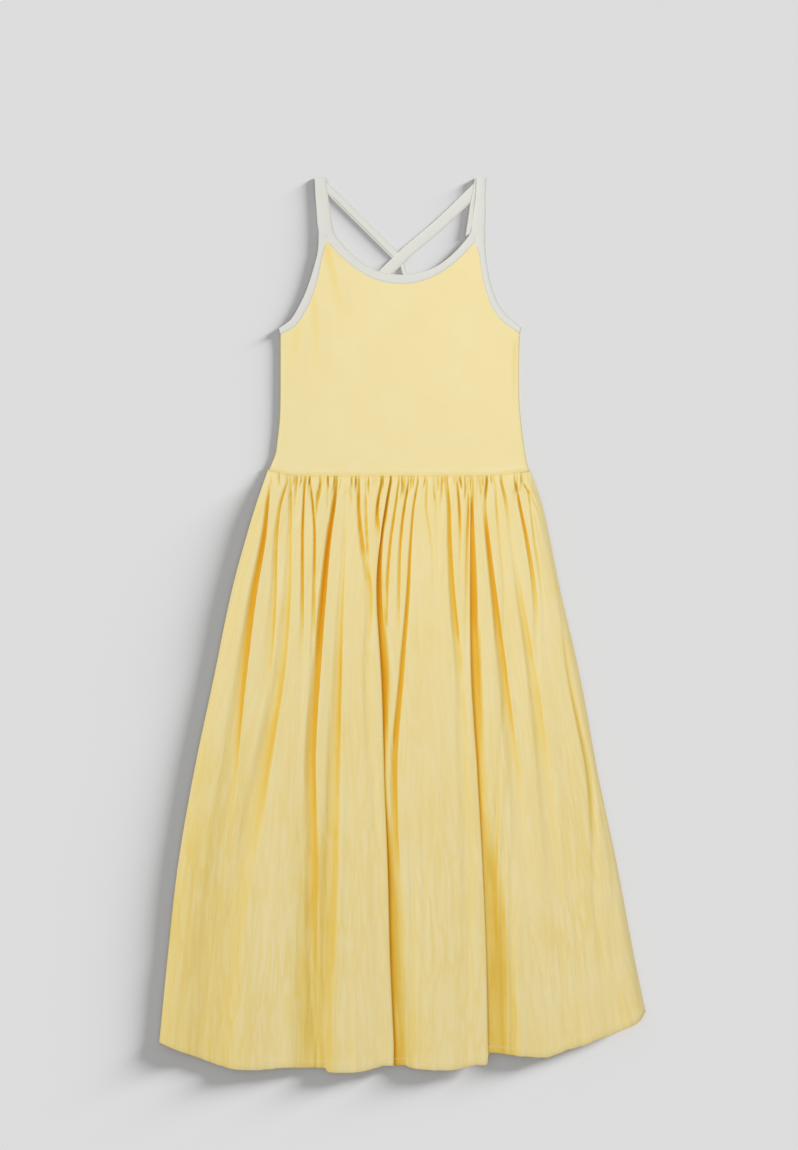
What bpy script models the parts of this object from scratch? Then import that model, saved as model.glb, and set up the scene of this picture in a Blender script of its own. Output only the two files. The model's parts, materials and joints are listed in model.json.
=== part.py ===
# Girl's sleeveless day dress laid flat: jersey bodice, rib bindings and crossed straps, gathered skirt.
# X runs to the right, Y towards the straps, Z up. The underside rests on Z = 0. Sizes are in millimetres.
import math

import bmesh
import bpy
import numpy as np

MM = 0.001

# Cloth
BODICE_WALL = 1.2
RIB_WALL = 1.2
BINDING_WALL = 1.6
SKIRT_WALL = 1.4
SEAM_GAP = 0.3
ROLL_GAP = 0.6  # to the widest line of a rolled binding
FRONT_BASE = BODICE_WALL + SEAM_GAP  # the front panel lies on the back panel

# Bodice
NECK_CENTRE = -0.2
NECK_HALF = 80.5
NECK_LOW = 411.0
NECK_RISE = 49.0
NECK_POWER = 2.3
NECK_BINDING = 12.2
APEX_CENTRE = -1.7
APEX_HALF = 86.4
APEX_LEVEL = 448.0
NECK_BOTTOM_POWER = 2.1
STRAP_FOOT = 463.0
WAIST_LEVEL = 174.8
SEAM_RIDGE = 0.7
SEAM_RIDGE_HEIGHT = 8.5

# Back edge of the bodice, hidden under the front
BACK_CENTRE = -2.5
BACK_HALF = 140.0
BACK_SIDE_LEVEL = 344.0
BACK_RISE = 18.0
BACK_BINDING = 12.0

# Skirt
GATHERS_LEFT = 18
GATHERS_MIDDLE = 11
GATHERS_RIGHT = 9
HEM_DEPTH = 8.5
HEM_EXTRA = 0.7
LIP_CLEAR = 13.0

WAIST = {
    "x": (-160.0, -140.0, -122.0, 0.0, 95.0, 122.0, 152.0),
    "rise": (7.5, 2.6, 0.0, 0.0, 0.0, 2.4, 5.6),
}

# Outer sides of the bodice from the waist seam to the underarm
BODICE_SIDE = {
    "level": (181.0, 190.0, 200.0, 217.0, 240.0, 262.0, 300.0, 340.0),
    "left": (-156.6, -153.0, -149.0, -146.5, -144.0, -143.2, -143.0, -143.0),
    "right": (148.4, 146.0, 144.0, 141.5, 139.0, 137.0, 136.6, 137.4),
}

# Front armhole bindings from the underarm to the foot of the strap, outer and inner edge
ARMHOLE_LEFT = {
    "outer_x": (-145.0, -131.0, -121.5, -114.0, -108.0, -103.0, -99.6, -98.5, -98.5),
    "outer_y": (348.0, 358.5, 374.0, 389.5, 406.5, 423.5, 437.5, 452.0, 463.0),
    "inner_x": (-143.0, -125.5, -112.0, -104.0, -98.5, -95.0, -91.8, -88.9, -88.9),
    "inner_y": (340.4, 349.5, 368.5, 387.0, 405.0, 424.0, 438.0, 447.2, 463.0),
}
ARMHOLE_RIGHT = {
    "outer_x": (140.0, 124.0, 114.0, 107.0, 103.0, 100.0, 98.0, 97.0, 97.0),
    "outer_y": (348.6, 362.0, 374.5, 389.5, 403.0, 418.0, 433.0, 450.0, 463.0),
    "inner_x": (137.5, 119.0, 105.5, 98.0, 93.8, 91.0, 88.6, 85.4, 85.4),
    "inner_y": (341.2, 353.0, 369.0, 388.0, 403.0, 419.0, 434.5, 447.2, 463.0),
}

# Straps: the two edges of the band from its foot over the shoulder fold to the back edge, and its level
LEFT_STRAP = {
    "outer_x": (-98.5, -99.7, -101.0, -102.2, -103.0, -103.0, -103.0, -103.0, -103.0, -102.5, -97.0, -80.0,
                -50.0, -20.0, -9.5, -7.0, -3.5, 1.0, 20.0, 44.0),
    "outer_y": (463.3, 470.0, 489.0, 504.0, 523.8, 524.6, 525.0, 524.6, 523.8, 520.8, 514.5, 497.0,
                467.5, 437.8, 427.3, 423.0, 417.0, 410.5, 388.0, 361.4),
    "inner_x": (-80.6, -81.9, -84.8, -87.0, -89.4, -89.4, -89.4, -89.4, -89.4, -89.2, -88.7, -72.5,
                -42.5, -12.5, -2.5, 0.5, 4.0, 8.5, 28.5, 53.5),
    "inner_y": (463.3, 469.0, 489.0, 504.0, 523.8, 524.6, 525.0, 524.6, 523.8, 522.6, 520.5, 504.4,
                474.6, 444.8, 434.4, 428.0, 421.0, 413.5, 393.5, 360.8),
    "level": (2.1, 2.1, 2.1, 2.1, 2.1, 1.9, 1.35, 0.8, 0.6, 0.6, 0.6, 0.6,
              0.6, 0.6, 0.6, 0.6, 0.6, 0.6, 0.6, 0.6),
}
RIGHT_STRAP = {
    "outer_x": (97.0, 97.4, 97.6, 97.6, 97.6, 97.6, 97.6, 97.6, 97.6, 97.2, 92.0, 80.0,
                48.0, 11.5, 6.4, 1.4, -3.6, -7.3, -13.0, -36.0, -62.0),
    "outer_y": (463.3, 474.0, 489.0, 504.0, 523.8, 524.6, 525.0, 524.6, 523.8, 513.5, 507.0, 495.4,
                464.8, 433.7, 428.9, 424.0, 419.1, 415.7, 410.1, 387.0, 361.4),
    "inner_x": (80.2, 81.6, 83.6, 85.2, 86.1, 86.1, 86.1, 86.1, 86.1, 86.0, 82.7, 70.6,
                38.6, 1.7, -3.4, -8.4, -13.4, -17.1, -22.8, -45.4, -72.0),
    "inner_y": (463.3, 475.0, 489.0, 501.0, 523.8, 524.6, 525.0, 524.6, 523.8, 521.6, 517.4, 505.6,
                474.9, 443.7, 438.9, 434.0, 429.1, 425.7, 420.1, 396.5, 361.0),
    "level": (2.1, 2.1, 2.1, 2.1, 2.1, 1.9, 1.35, 0.8, 0.6, 0.6, 0.6, 0.6,
              0.6, 0.6, 2.1, 2.1, 2.1, 0.6, 0.6, 0.6, 0.6),
}

# Creases of the bodice below the left armhole: ends, height and half width
BODICE_CREASES = {
    "x0": (-87.0, -103.0, -118.0),
    "y0": (447.0, 392.0, 362.0),
    "x1": (-68.0, -97.0, -129.0),
    "y1": (368.0, 292.0, 286.0),
    "height": (1.3, 1.6, 1.3),
    "width": (6.0, 8.0, 9.0),
}

# Outer sides of the skirt and the two overlapping folds, by level
SKIRT_LINES = {
    "level": (182.0, 145.0, 105.0, 45.0, -65.0, -175.0, -285.0, -395.0, -490.0),
    "left_side": (-157.0, -169.8, -182.0, -198.3, -221.2, -244.3, -263.0, -275.2, -284.5),
    "left_lip": (-11.5, -20.0, -25.5, -27.5, -24.0, -20.0, -16.0, -12.0, -8.5),
    "right_lip": (79.0, 81.0, 82.5, 84.5, 86.0, 89.2, 93.5, 97.0, 99.0),
    "right_side": (148.5, 161.7, 171.0, 183.2, 208.2, 228.3, 251.3, 272.0, 292.0),
}

# Hem line of each third of the front, by the share of its width
HEM_LEFT = {
    "share": (0.0, 0.16, 0.32, 0.43, 0.58, 0.7, 0.74, 0.84, 0.93, 1.0),
    "level": (-489.0, -504.5, -518.5, -520.0, -517.5, -519.0, -523.0, -524.8, -521.0, -514.5),
}
HEM_MIDDLE = {
    "share": (0.0, 0.1, 0.3, 0.6, 1.0),
    "level": (-513.0, -518.0, -521.0, -520.5, -514.0),
}
HEM_RIGHT = {
    "share": (0.0, 0.15, 0.3, 0.38, 0.45, 0.55, 0.65, 0.75, 0.86, 0.97, 1.0),
    "level": (-500.5, -504.0, -505.5, -501.5, -496.5, -491.5, -484.5, -478.5, -471.0, -460.0, -453.0),
}
HEM_BACK = {
    "share": (0.0, 0.08, 0.2, 0.4, 0.5, 0.62, 0.68, 0.8, 0.9, 1.0),
    "level": (-485.0, -498.0, -512.0, -513.0, -508.0, -508.0, -497.0, -491.0, -474.0, -450.0),
}

# Heights of the front of the skirt by the distance below the waist seam
SKIRT_RISE = {
    "drop": (0.0, 12.0, 40.0, 90.0, 180.0, 350.0, 550.0, 690.0),
    "puff": (0.2, 1.6, 3.8, 5.6, 6.6, 6.0, 4.8, 3.6),
    "gather": (0.7, 2.8, 3.2, 2.2, 1.0, 0.3, 0.0, 0.0),
    "back": (0.3, 1.6, 1.8, 1.3, 1.1, 1.0, 0.9, 0.6),
    "left_lean": (0.5, 1.2, 2.4, 3.6, 4.4, 4.6, 4.0, 3.0),
    "right_lean": (0.5, 1.0, 1.6, 2.2, 3.0, 4.6, 5.4, 5.0),
}

# Long soft troughs of the front: place at six levels, reach below the seam, depth share, half width
TROUGH_LEVELS = (175.0, 95.0, -25.0, -175.0, -325.0, -475.0)
TROUGHS = {
    "side_left": {"x": (-154, -167, -185, -208, -229, -246), "reach": (0, 500), "depth": 0.65, "width": 13},
    "left": {"x": (-75, -88, -98, -106, -109, -110), "reach": (0, 470), "depth": 0.92, "width": 9},
    "left_low": {"x": (-58, -62, -68, -76, -82, -89), "reach": (240, 720), "depth": 0.6, "width": 9},
    "left_inner": {"x": (-51, -48, -31, -24, -20, -18), "reach": (10, 190), "depth": 0.5, "width": 8},
    "middle_a": {"x": (9, -5, -10, -12, -12, -12), "reach": (0, 150), "depth": 0.6, "width": 6},
    "middle_b": {"x": (14, 6, 1, -6, -8, -8), "reach": (0, 290), "depth": 0.6, "width": 7},
    "middle_c": {"x": (50, 56, 67, 82, 90, 92), "reach": (10, 260), "depth": 0.65, "width": 8},
    "right_a": {"x": (101, 101, 116, 131, 147, 155), "reach": (0, 400), "depth": 0.9, "width": 9},
    "right_b": {"x": (130, 147, 155, 154, 154, 154), "reach": (0, 290), "depth": 0.7, "width": 10},
    "right_c": {"x": (140, 146, 151, 162, 179, 190), "reach": (220, 500), "depth": 0.5, "width": 10},
}
BACK_RIDGES = {
    "share": (0.12, 0.31, 0.52, 0.7, 0.88),
    "drift": (-0.03, 0.02, -0.02, 0.03, 0.02),
    "width": (0.035, 0.03, 0.04, 0.03, 0.03),
}

# Section of an overlapping fold, from its bank on the left to its trough on the right
LIP = {
    "base": (-9.0, -4.5, -1.8, -0.4, 0.6, 1.8, 4.5, 9.0),
    "lean": (0.25, 0.7, 1.0, 0.8, -0.7, -1.0, -0.3, 0.0),
    "bank": (1.0, 1.0, 0.9, 0.62, 0.3, 0.06, 0.0, 0.0),
}

FRONT_ROWS = (0, 5, 12, 24, 42, 65, 95, 135, 185, 245, 315, 395, 475, 560, 640)
BACK_ROWS = (0, 6, 16, 34, 62, 100, 150, 230, 340, 460, 580)
SKIRT_LENGTH = 692.0

YELLOW_JERSEY = (0.86, 0.72, 0.36, 1.0)
YELLOW_COTTON = (0.80, 0.66, 0.30, 1.0)
IVORY_RIB = (0.78, 0.78, 0.72, 1.0)


def curve_at(keys, values, at):
    """Value of a smooth curve through a table's column, with no overshoot between its rows."""
    keys = np.asarray(keys, float)
    values = np.asarray(values, float)
    if keys[0] > keys[-1]:
        keys, values = keys[::-1], values[::-1]
    steps = np.diff(values) / np.diff(keys)
    slopes = np.concatenate([steps[:1], (steps[:-1] + steps[1:]) / 2, steps[-1:]])
    slopes[1:-1][steps[:-1] * steps[1:] <= 0] = 0.0
    limit = 3 * np.minimum(np.abs(np.r_[steps[:1], steps]), np.abs(np.r_[steps, steps[-1:]]))
    slopes = np.clip(slopes, -limit, limit)
    at = float(np.clip(at, keys[0], keys[-1]))
    i = int(np.clip(np.searchsorted(keys, at) - 1, 0, len(keys) - 2))
    span = keys[i + 1] - keys[i]
    t = (at - keys[i]) / span
    return (
        (2 * t**3 - 3 * t**2 + 1) * values[i]
        + (t**3 - 2 * t**2 + t) * span * slopes[i]
        + (3 * t**2 - 2 * t**3) * values[i + 1]
        + (t**3 - t**2) * span * slopes[i + 1]
    )


def bump(q):
    """Soft hump, 1 at the middle and 0 beyond one half width either way."""
    return 0.5 + 0.5 * math.cos(math.pi * q) if abs(q) < 1 else 0.0


def ramp(q):
    """Soft step from 0 to 1."""
    q = min(max(q, 0.0), 1.0)
    return q * q * (3 - 2 * q)


def uneven(k, seed):
    """A steady pseudo-random number from 0 to 1 for fold k."""
    value = math.sin(k * 12.9898 + seed * 78.233) * 43758.5453
    return value - math.floor(value)


def mix(a, b, share):
    return a + (b - a) * share


def waist_level(x):
    return WAIST_LEVEL + curve_at(WAIST["x"], WAIST["rise"], x)


def material(name, colour, roughness):
    made = bpy.data.materials.new(name)
    made.use_nodes = True
    shader = made.node_tree.nodes["Principled BSDF"]
    shader.inputs["Base Color"].default_value = colour
    shader.inputs["Roughness"].default_value = roughness
    shader.inputs["Metallic"].default_value = 0.0
    made.diffuse_color = colour
    return made


def panel(name, rows, cols, place, wall, offset, cloth, thick=None):
    """A cloth panel: a grid whose points are put in place by a function, made a wall by Solidify."""
    mesh = bpy.data.meshes.new(name)
    bm = bmesh.new()
    bmesh.ops.create_grid(bm, x_segments=cols - 1, y_segments=rows - 1, size=1.0)
    bm.verts.ensure_lookup_table()
    for vert in bm.verts:
        col = round((vert.co.x + 1) / 2 * (cols - 1))
        row = round((vert.co.y + 1) / 2 * (rows - 1))
        x, y, z = place(row, col)
        vert.co = (x * MM, y * MM, z * MM)
    bmesh.ops.recalc_face_normals(bm, faces=bm.faces)
    if sum(face.normal.z * face.calc_area() for face in bm.faces) < 0:
        bmesh.ops.reverse_faces(bm, faces=bm.faces)
    bm.to_mesh(mesh)
    bm.free()
    mesh.materials.append(cloth)
    mesh.shade_smooth()
    obj = bpy.data.objects.new(name, mesh)
    parts.objects.link(obj)
    solid = obj.modifiers.new("wall", "SOLIDIFY")
    solid.thickness = wall * MM
    solid.offset = offset
    if thick:
        group = obj.vertex_groups.new(name="turned_hem")
        group.add(thick(rows, cols), 1.0, "REPLACE")
        solid.vertex_group = "turned_hem"
        solid.thickness = (wall + HEM_EXTRA) * MM
        solid.thickness_vertex_group = wall / (wall + HEM_EXTRA)
    return obj


for old in list(bpy.data.objects):
    bpy.data.objects.remove(old, do_unlink=True)

parts = bpy.data.collections.new("day_dress")
bpy.context.scene.collection.children.link(parts)
jersey = material("yellow_jersey", YELLOW_JERSEY, 0.8)
cotton = material("yellow_crinkle_cotton", YELLOW_COTTON, 0.85)
rib = material("ivory_rib", IVORY_RIB, 0.85)


# Front bodice
def neck_edge(share, lower):
    """Edge of the neck binding at a share from -1 to 1 across."""
    half = APEX_HALF if lower else NECK_HALF
    power = NECK_BOTTOM_POWER if lower else NECK_POWER
    low = NECK_LOW - NECK_BINDING if lower else NECK_LOW
    rise = APEX_LEVEL - low if lower else NECK_RISE
    centre = APEX_CENTRE if lower else NECK_CENTRE
    return centre + half * share, low + rise * abs(share) ** power


def beside(edge, at):
    """Inner edge of an armhole binding, moved on by the gap."""
    keys = range(len(edge["inner_x"]))
    ox, oy = curve_at(keys, edge["outer_x"], at), curve_at(keys, edge["outer_y"], at)
    ix, iy = curve_at(keys, edge["inner_x"], at), curve_at(keys, edge["inner_y"], at)
    reach = math.hypot(ix - ox, iy - oy)
    return ix + (ix - ox) / reach * ROLL_GAP, iy + (iy - oy) / reach * ROLL_GAP


SIDE_ROWS = 6
ARM_STEPS = 2  # rows between the rows of an armhole's table
ARM_ROWS = 7 * ARM_STEPS


def bodice_side(row, side):
    """Edge of the front bodice at a row, up the side seam and then along the armhole binding."""
    if row < SIDE_ROWS:
        level = mix(waist_level(-157.0 if side == "left" else 148.0) + SEAM_GAP, 339.0, row / (SIDE_ROWS - 1))
        return curve_at(BODICE_SIDE["level"], BODICE_SIDE[side], level), level
    edge = ARMHOLE_LEFT if side == "left" else ARMHOLE_RIGHT
    return beside(edge, (row - SIDE_ROWS + 1) / ARM_STEPS)


def bodice_point(row, share, rows):
    """Point of the front bodice between its four edges."""
    up = row / (rows - 1)
    left, right = bodice_side(row, "left"), bodice_side(row, "right")
    corners = [bodice_side(0, "left"), bodice_side(0, "right"), bodice_side(rows - 1, "left"),
               bodice_side(rows - 1, "right")]
    bx = mix(corners[0][0], corners[1][0], share)
    bottom = (bx, waist_level(bx) + SEAM_GAP)
    nx, ny = neck_edge(share * 2 - 1, True)
    top = [nx, ny - ROLL_GAP]
    for k in (0, 1):
        for end, corner in ((1 - share, corners[2]), (share, corners[3])):
            tip = neck_edge(-1.0 if corner is corners[2] else 1.0, True)
            top[k] += end**6 * (corner[k] - (tip[k] - ROLL_GAP * k))
    point = []
    for k in (0, 1):
        across = mix(left[k], right[k], share)
        along = mix(bottom[k], top[k], up)
        bare = mix(mix(corners[0][k], corners[1][k], share), mix(corners[2][k], corners[3][k], share), up)
        point.append(across + along - bare)
    return point


def crease_height(x, y):
    """Raise of the soft creases below the left armhole."""
    high = 0.0
    for k in range(len(BODICE_CREASES["x0"])):
        ax, ay = BODICE_CREASES["x0"][k], BODICE_CREASES["y0"][k]
        bx, by = BODICE_CREASES["x1"][k], BODICE_CREASES["y1"][k]
        run = math.hypot(bx - ax, by - ay)
        along = ((x - ax) * (bx - ax) + (y - ay) * (by - ay)) / run
        off = ((x - ax) * (by - ay) - (y - ay) * (bx - ax)) / run
        fade = ramp(along / 22) * ramp((run - along) / 25 + 1)
        high += BODICE_CREASES["height"][k] * fade * bump(off / (1.8 * BODICE_CREASES["width"][k]))
    return high


BODICE_SHARES = [k * 0.034 for k in range(11)] + [0.4, 0.48, 0.56, 0.64, 0.72, 0.8, 0.88, 0.94, 1.0]


def front_bodice_at(row, col):
    rows = SIDE_ROWS + ARM_ROWS
    x, y = bodice_point(row, BODICE_SHARES[col], rows)
    seam = waist_level(x)
    ridge = SEAM_RIDGE * (1 - ramp((y - seam - SEAM_RIDGE_HEIGHT) / 4))
    return x, y, FRONT_BASE + crease_height(x, y) + ridge


panel("front_bodice", SIDE_ROWS + ARM_ROWS, len(BODICE_SHARES), front_bodice_at, BODICE_WALL, 1.0, jersey)


# Back bodice and the binding of its top edge
def back_top(x):
    share = min(abs(x - BACK_CENTRE) / BACK_HALF, 1.0)
    return BACK_SIDE_LEVEL + BACK_RISE * (1 - share**3)


BACK_COLS = 15
BACK_BODICE_ROWS = 8


def back_bodice_at(row, col):
    share, up = col / (BACK_COLS - 1), row / (BACK_BODICE_ROWS - 1)
    top_level = BACK_SIDE_LEVEL - BACK_BINDING - SEAM_GAP
    level = mix(180.5, top_level, up)
    left = curve_at(BODICE_SIDE["level"], BODICE_SIDE["left"], level) + 1.0
    right = curve_at(BODICE_SIDE["level"], BODICE_SIDE["right"], level) - 1.0
    x = mix(left, right, share)
    bottom = waist_level(x) + SEAM_GAP
    return x, mix(bottom, back_top(x) - BACK_BINDING - SEAM_GAP, up), 0.0


def back_binding_at(row, col):
    x = mix(-142.0, 136.6, col / (BACK_COLS - 1))
    return x, back_top(x) - BACK_BINDING * (1 - row), 0.0


panel("back_bodice", BACK_BODICE_ROWS, BACK_COLS, back_bodice_at, BODICE_WALL, 1.0, jersey)
panel("back_binding", 2, BACK_COLS, back_binding_at, RIB_WALL, 1.0, rib)

# Bindings of the front, each a band with a soft roll
ROLL = (0.0, 0.35, 0.45, 0.35, 0.0)
BAND_COLS = len(ROLL)
NECK_ROWS = len(BODICE_SHARES) + 2


def neck_at(row, col):
    if row in (0, NECK_ROWS - 1):
        side = -1 if row == 0 else 1
        inner, outer = (88.2, 80.6) if side < 0 else (84.8, 80.2)
        outer_point, inner_point = (side * outer, STRAP_FOOT), (side * inner, STRAP_FOOT)
    else:
        share = BODICE_SHARES[row - 1] * 2 - 1
        outer_point, inner_point = neck_edge(share, False), neck_edge(share, True)
    share = col / (BAND_COLS - 1)
    return (
        mix(outer_point[0], inner_point[0], share),
        mix(outer_point[1], inner_point[1], share),
        FRONT_BASE + ROLL[col],
    )


panel("neck_binding", NECK_ROWS, BAND_COLS, neck_at, BINDING_WALL, 1.0, rib)


def band_point(edge, row, col, steps, cols):
    at = row / steps
    keys = range(len(edge["outer_x"]))
    share = col / (cols - 1)
    return (
        mix(curve_at(keys, edge["outer_x"], at), curve_at(keys, edge["inner_x"], at), share),
        mix(curve_at(keys, edge["outer_y"], at), curve_at(keys, edge["inner_y"], at), share),
    )


def armhole(name, edge):
    rows = (len(edge["outer_x"]) - 1) * ARM_STEPS + 1

    def at(row, col):
        x, y = band_point(edge, row, col, ARM_STEPS, BAND_COLS)
        return x, y, FRONT_BASE + ROLL[col]

    panel(name, rows, BAND_COLS, at, BINDING_WALL, 1.0, rib)


armhole("left_armhole_binding", ARMHOLE_LEFT)
armhole("right_armhole_binding", ARMHOLE_RIGHT)


def strap(name, edge):
    keys = range(len(edge["level"]))

    def at(row, col):
        x = (edge["outer_x"][row], edge["inner_x"][row])[col]
        y = (edge["outer_y"][row], edge["inner_y"][row])[col]
        return x, y, edge["level"][row]

    panel(name, len(keys), 2, at, RIB_WALL, 0.0, rib)


strap("left_strap", LEFT_STRAP)
strap("right_strap", RIGHT_STRAP)

# Skirt
ZONES = (
    ("left_side", "left_lip", GATHERS_LEFT, HEM_LEFT),
    ("left_lip", "right_lip", GATHERS_MIDDLE, HEM_MIDDLE),
    ("right_lip", "right_side", GATHERS_RIGHT, HEM_RIGHT),
)


def line_at(name, level):
    return curve_at(SKIRT_LINES["level"], SKIRT_LINES[name], level)


def rise_at(name, drop):
    return curve_at(SKIRT_RISE["drop"], SKIRT_RISE[name], drop)


def trough(x, level, drop):
    """Share of the height left at a point by the long troughs."""
    left = 1.0
    for fold in TROUGHS.values():
        start, end = fold["reach"]
        deep = fold["depth"] * ramp((drop - start) / 30 + 0.3) * ramp((end - drop) / 120)
        place = curve_at(TROUGH_LEVELS, fold["x"], level)
        left *= 1 - deep * bump((x - place) / (1.9 * fold["width"]))
    return left


def side_share(x, level):
    """0 at the side seams of the skirt and 1 well inside."""
    inside = min(x - line_at("left_side", level), line_at("right_side", level) - x)
    return 1 - math.exp(-max(inside, 0.0) / 16.0)


def front_skirt_z(x, level, drop, gather):
    """Height of the underside of the front of the skirt."""
    base = SKIRT_WALL + SEAM_GAP + rise_at("back", drop) * ramp(side_share(x, level) * 1.4)
    shade = 1.0
    for name in ("left_lip", "right_lip"):
        beyond = x - line_at(name, level)
        if beyond > 0:
            shade *= ramp(beyond / 26.0)
    return base + (rise_at("puff", drop) * trough(x, level, drop) * shade
                   + rise_at("gather", drop) * gather) * side_share(x, level)


def skirt_columns():
    """Columns of the front of the skirt: crest and trough of each gather, and the section of each lip."""
    columns = []
    for number, (start, end, count, hem) in enumerate(ZONES):
        if number:
            for k in range(len(LIP["base"])):
                columns.append({"lip": start, "k": k, "zone": number})
        total = count * 2
        for k in range(total + 1):
            shift = (uneven(k, number) - 0.5) * 0.7 if 0 < k < total else 0.0
            columns.append({
                "zone": number,
                "share": (k + shift) / total,
                "crest": k % 2,
                "high": 0.55 + 0.45 * uneven(k, number + 5),
                "fade": 0.5 + 1.1 * uneven(k, number + 9),
            })
    return columns


COLUMNS = skirt_columns()


def column_place(column, level):
    """X of a column at a level, before any lean."""
    start, end = ZONES[column["zone"]][0], ZONES[column["zone"]][1]
    if "lip" in column:
        return line_at(column["lip"], level) + LIP["base"][column["k"]]
    left = line_at(start, level) + (LIP_CLEAR if start.endswith("lip") else 0.0)
    right = line_at(end, level) - (LIP_CLEAR if end.endswith("lip") else 0.0)
    return mix(left, right, column["share"])


def column_hem(column):
    """Level of the hem at a column."""
    if "lip" in column:
        bank = LIP["bank"][column["k"]]
        left_hem = ZONES[column["zone"] - 1][3]["level"][-1]
        right_hem = ZONES[column["zone"]][3]["level"][0]
        return mix(right_hem, left_hem, bank)
    hem = ZONES[column["zone"]][3]
    return curve_at(hem["share"], hem["level"], column["share"])


def front_skirt_at(row, col):
    column = COLUMNS[col]
    hem = column_hem(column)
    top = waist_level(column_place(column, WAIST_LEVEL + 4)) - SEAM_GAP
    top = waist_level(column_place(column, top)) - SEAM_GAP
    length = top - hem
    if row < len(FRONT_ROWS):
        level = top - FRONT_ROWS[row] / SKIRT_LENGTH * length
    else:
        level = hem + HEM_DEPTH * (len(FRONT_ROWS) + 1 - row)
    drop = (top - level) / length * SKIRT_LENGTH
    x = column_place(column, level)
    if "lip" not in column:
        fade = ramp(1.6 - drop / (150.0 * column["fade"]))
        gather = column["crest"] * column["high"] * fade
        return x, level, front_skirt_z(x, level, drop, gather)
    k = column["k"]
    lean = rise_at(column["lip"].replace("lip", "lean"), drop)
    bank = LIP["bank"][k]
    line = line_at(column["lip"], level)
    high = front_skirt_z(line - LIP_CLEAR, level, drop, 0.3)
    low = front_skirt_z(line + 0.5, level, drop, 0.0)
    if k == len(LIP["base"]) - 1:
        low = front_skirt_z(x, level, drop, 0.0)
    return x + LIP["lean"][k] * lean, level, mix(low, high, bank)


def hem_rows(rows, cols):
    return [row * cols + col for row in range(2) for col in range(cols)]


FRONT_ROW_COUNT = len(FRONT_ROWS) + 2


def front_skirt_flip(row, col):
    """Rows counted from the hem upwards."""
    return front_skirt_at(FRONT_ROW_COUNT - 1 - row, col)


panel("front_skirt", FRONT_ROW_COUNT, len(COLUMNS), front_skirt_flip, SKIRT_WALL, 1.0, cotton, hem_rows)

BACK_GATHERS = GATHERS_LEFT + GATHERS_MIDDLE + GATHERS_RIGHT
BACK_SKIRT_COLS = BACK_GATHERS * 2 + 1
BACK_ROW_COUNT = len(BACK_ROWS) + 2


def back_skirt_x(level, share):
    return mix(line_at("left_side", level) + 0.5, line_at("right_side", level) - 0.5, share)


def back_skirt_at(row, col):
    row = BACK_ROW_COUNT - 1 - row
    last = BACK_SKIRT_COLS - 1
    shift = (uneven(col, 3) - 0.5) * 0.6 if 0 < col < last else 0.0
    share = (col + shift) / last
    hem = curve_at(HEM_BACK["share"], HEM_BACK["level"], share)
    top = waist_level(mix(-157.0, 148.5, share)) - SEAM_GAP
    top = waist_level(back_skirt_x(top, share)) - SEAM_GAP
    length = top - hem
    if row < len(BACK_ROWS):
        level = top - BACK_ROWS[row] / SKIRT_LENGTH * length
    else:
        level = hem + HEM_DEPTH * (BACK_ROW_COUNT - 1 - row)
    drop = (top - level) / length * SKIRT_LENGTH
    x = back_skirt_x(level, share)
    crest = col % 2 * (0.6 + 0.4 * uneven(col, 4)) * ramp(1.7 - drop / (110 + 90 * uneven(col, 6)))
    ridge = 0.0
    for k in range(len(BACK_RIDGES["share"])):
        middle = BACK_RIDGES["share"][k] + BACK_RIDGES["drift"][k] * drop / SKIRT_LENGTH
        ridge = max(ridge, bump((share - middle) / BACK_RIDGES["width"][k]) * ramp(drop / 90 - 0.6))
    high = 0.85 * rise_at("back", drop) * side_share(x, level) * max(crest, ridge)
    return x, level, max(high, 0.0) if high > 0.05 else 0.0


panel("back_skirt", BACK_ROW_COUNT, BACK_SKIRT_COLS, back_skirt_at, SKIRT_WALL, 1.0, cotton)
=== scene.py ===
# Girl's day dress laid flat: jersey bodice, rib bindings, gathered crinkled skirt.
# X runs right, Y towards the straps, Z up. The tables hold millimetres.
import json
import math

import bpy
import numpy as np
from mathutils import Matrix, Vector
from mathutils.bvhtree import BVHTree

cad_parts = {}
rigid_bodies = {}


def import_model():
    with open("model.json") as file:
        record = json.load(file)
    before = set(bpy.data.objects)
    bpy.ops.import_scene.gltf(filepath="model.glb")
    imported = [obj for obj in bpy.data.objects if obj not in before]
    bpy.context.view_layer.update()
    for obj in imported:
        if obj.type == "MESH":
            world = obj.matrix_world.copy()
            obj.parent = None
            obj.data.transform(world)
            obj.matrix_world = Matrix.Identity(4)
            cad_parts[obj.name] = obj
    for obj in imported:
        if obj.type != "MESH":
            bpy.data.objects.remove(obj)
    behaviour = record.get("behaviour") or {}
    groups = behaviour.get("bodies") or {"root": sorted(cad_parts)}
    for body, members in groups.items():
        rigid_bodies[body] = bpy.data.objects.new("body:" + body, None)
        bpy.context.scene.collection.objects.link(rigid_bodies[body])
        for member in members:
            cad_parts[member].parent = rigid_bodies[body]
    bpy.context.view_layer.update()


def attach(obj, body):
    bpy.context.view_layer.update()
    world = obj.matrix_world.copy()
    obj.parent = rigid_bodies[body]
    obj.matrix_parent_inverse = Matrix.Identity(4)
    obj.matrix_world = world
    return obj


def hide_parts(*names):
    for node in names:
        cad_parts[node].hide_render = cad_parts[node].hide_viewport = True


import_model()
mm = 0.001

photo = {"centreX": 402.5, "centreY": 625, "mmPerPixel": 1.1732, "height": 1150}


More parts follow.
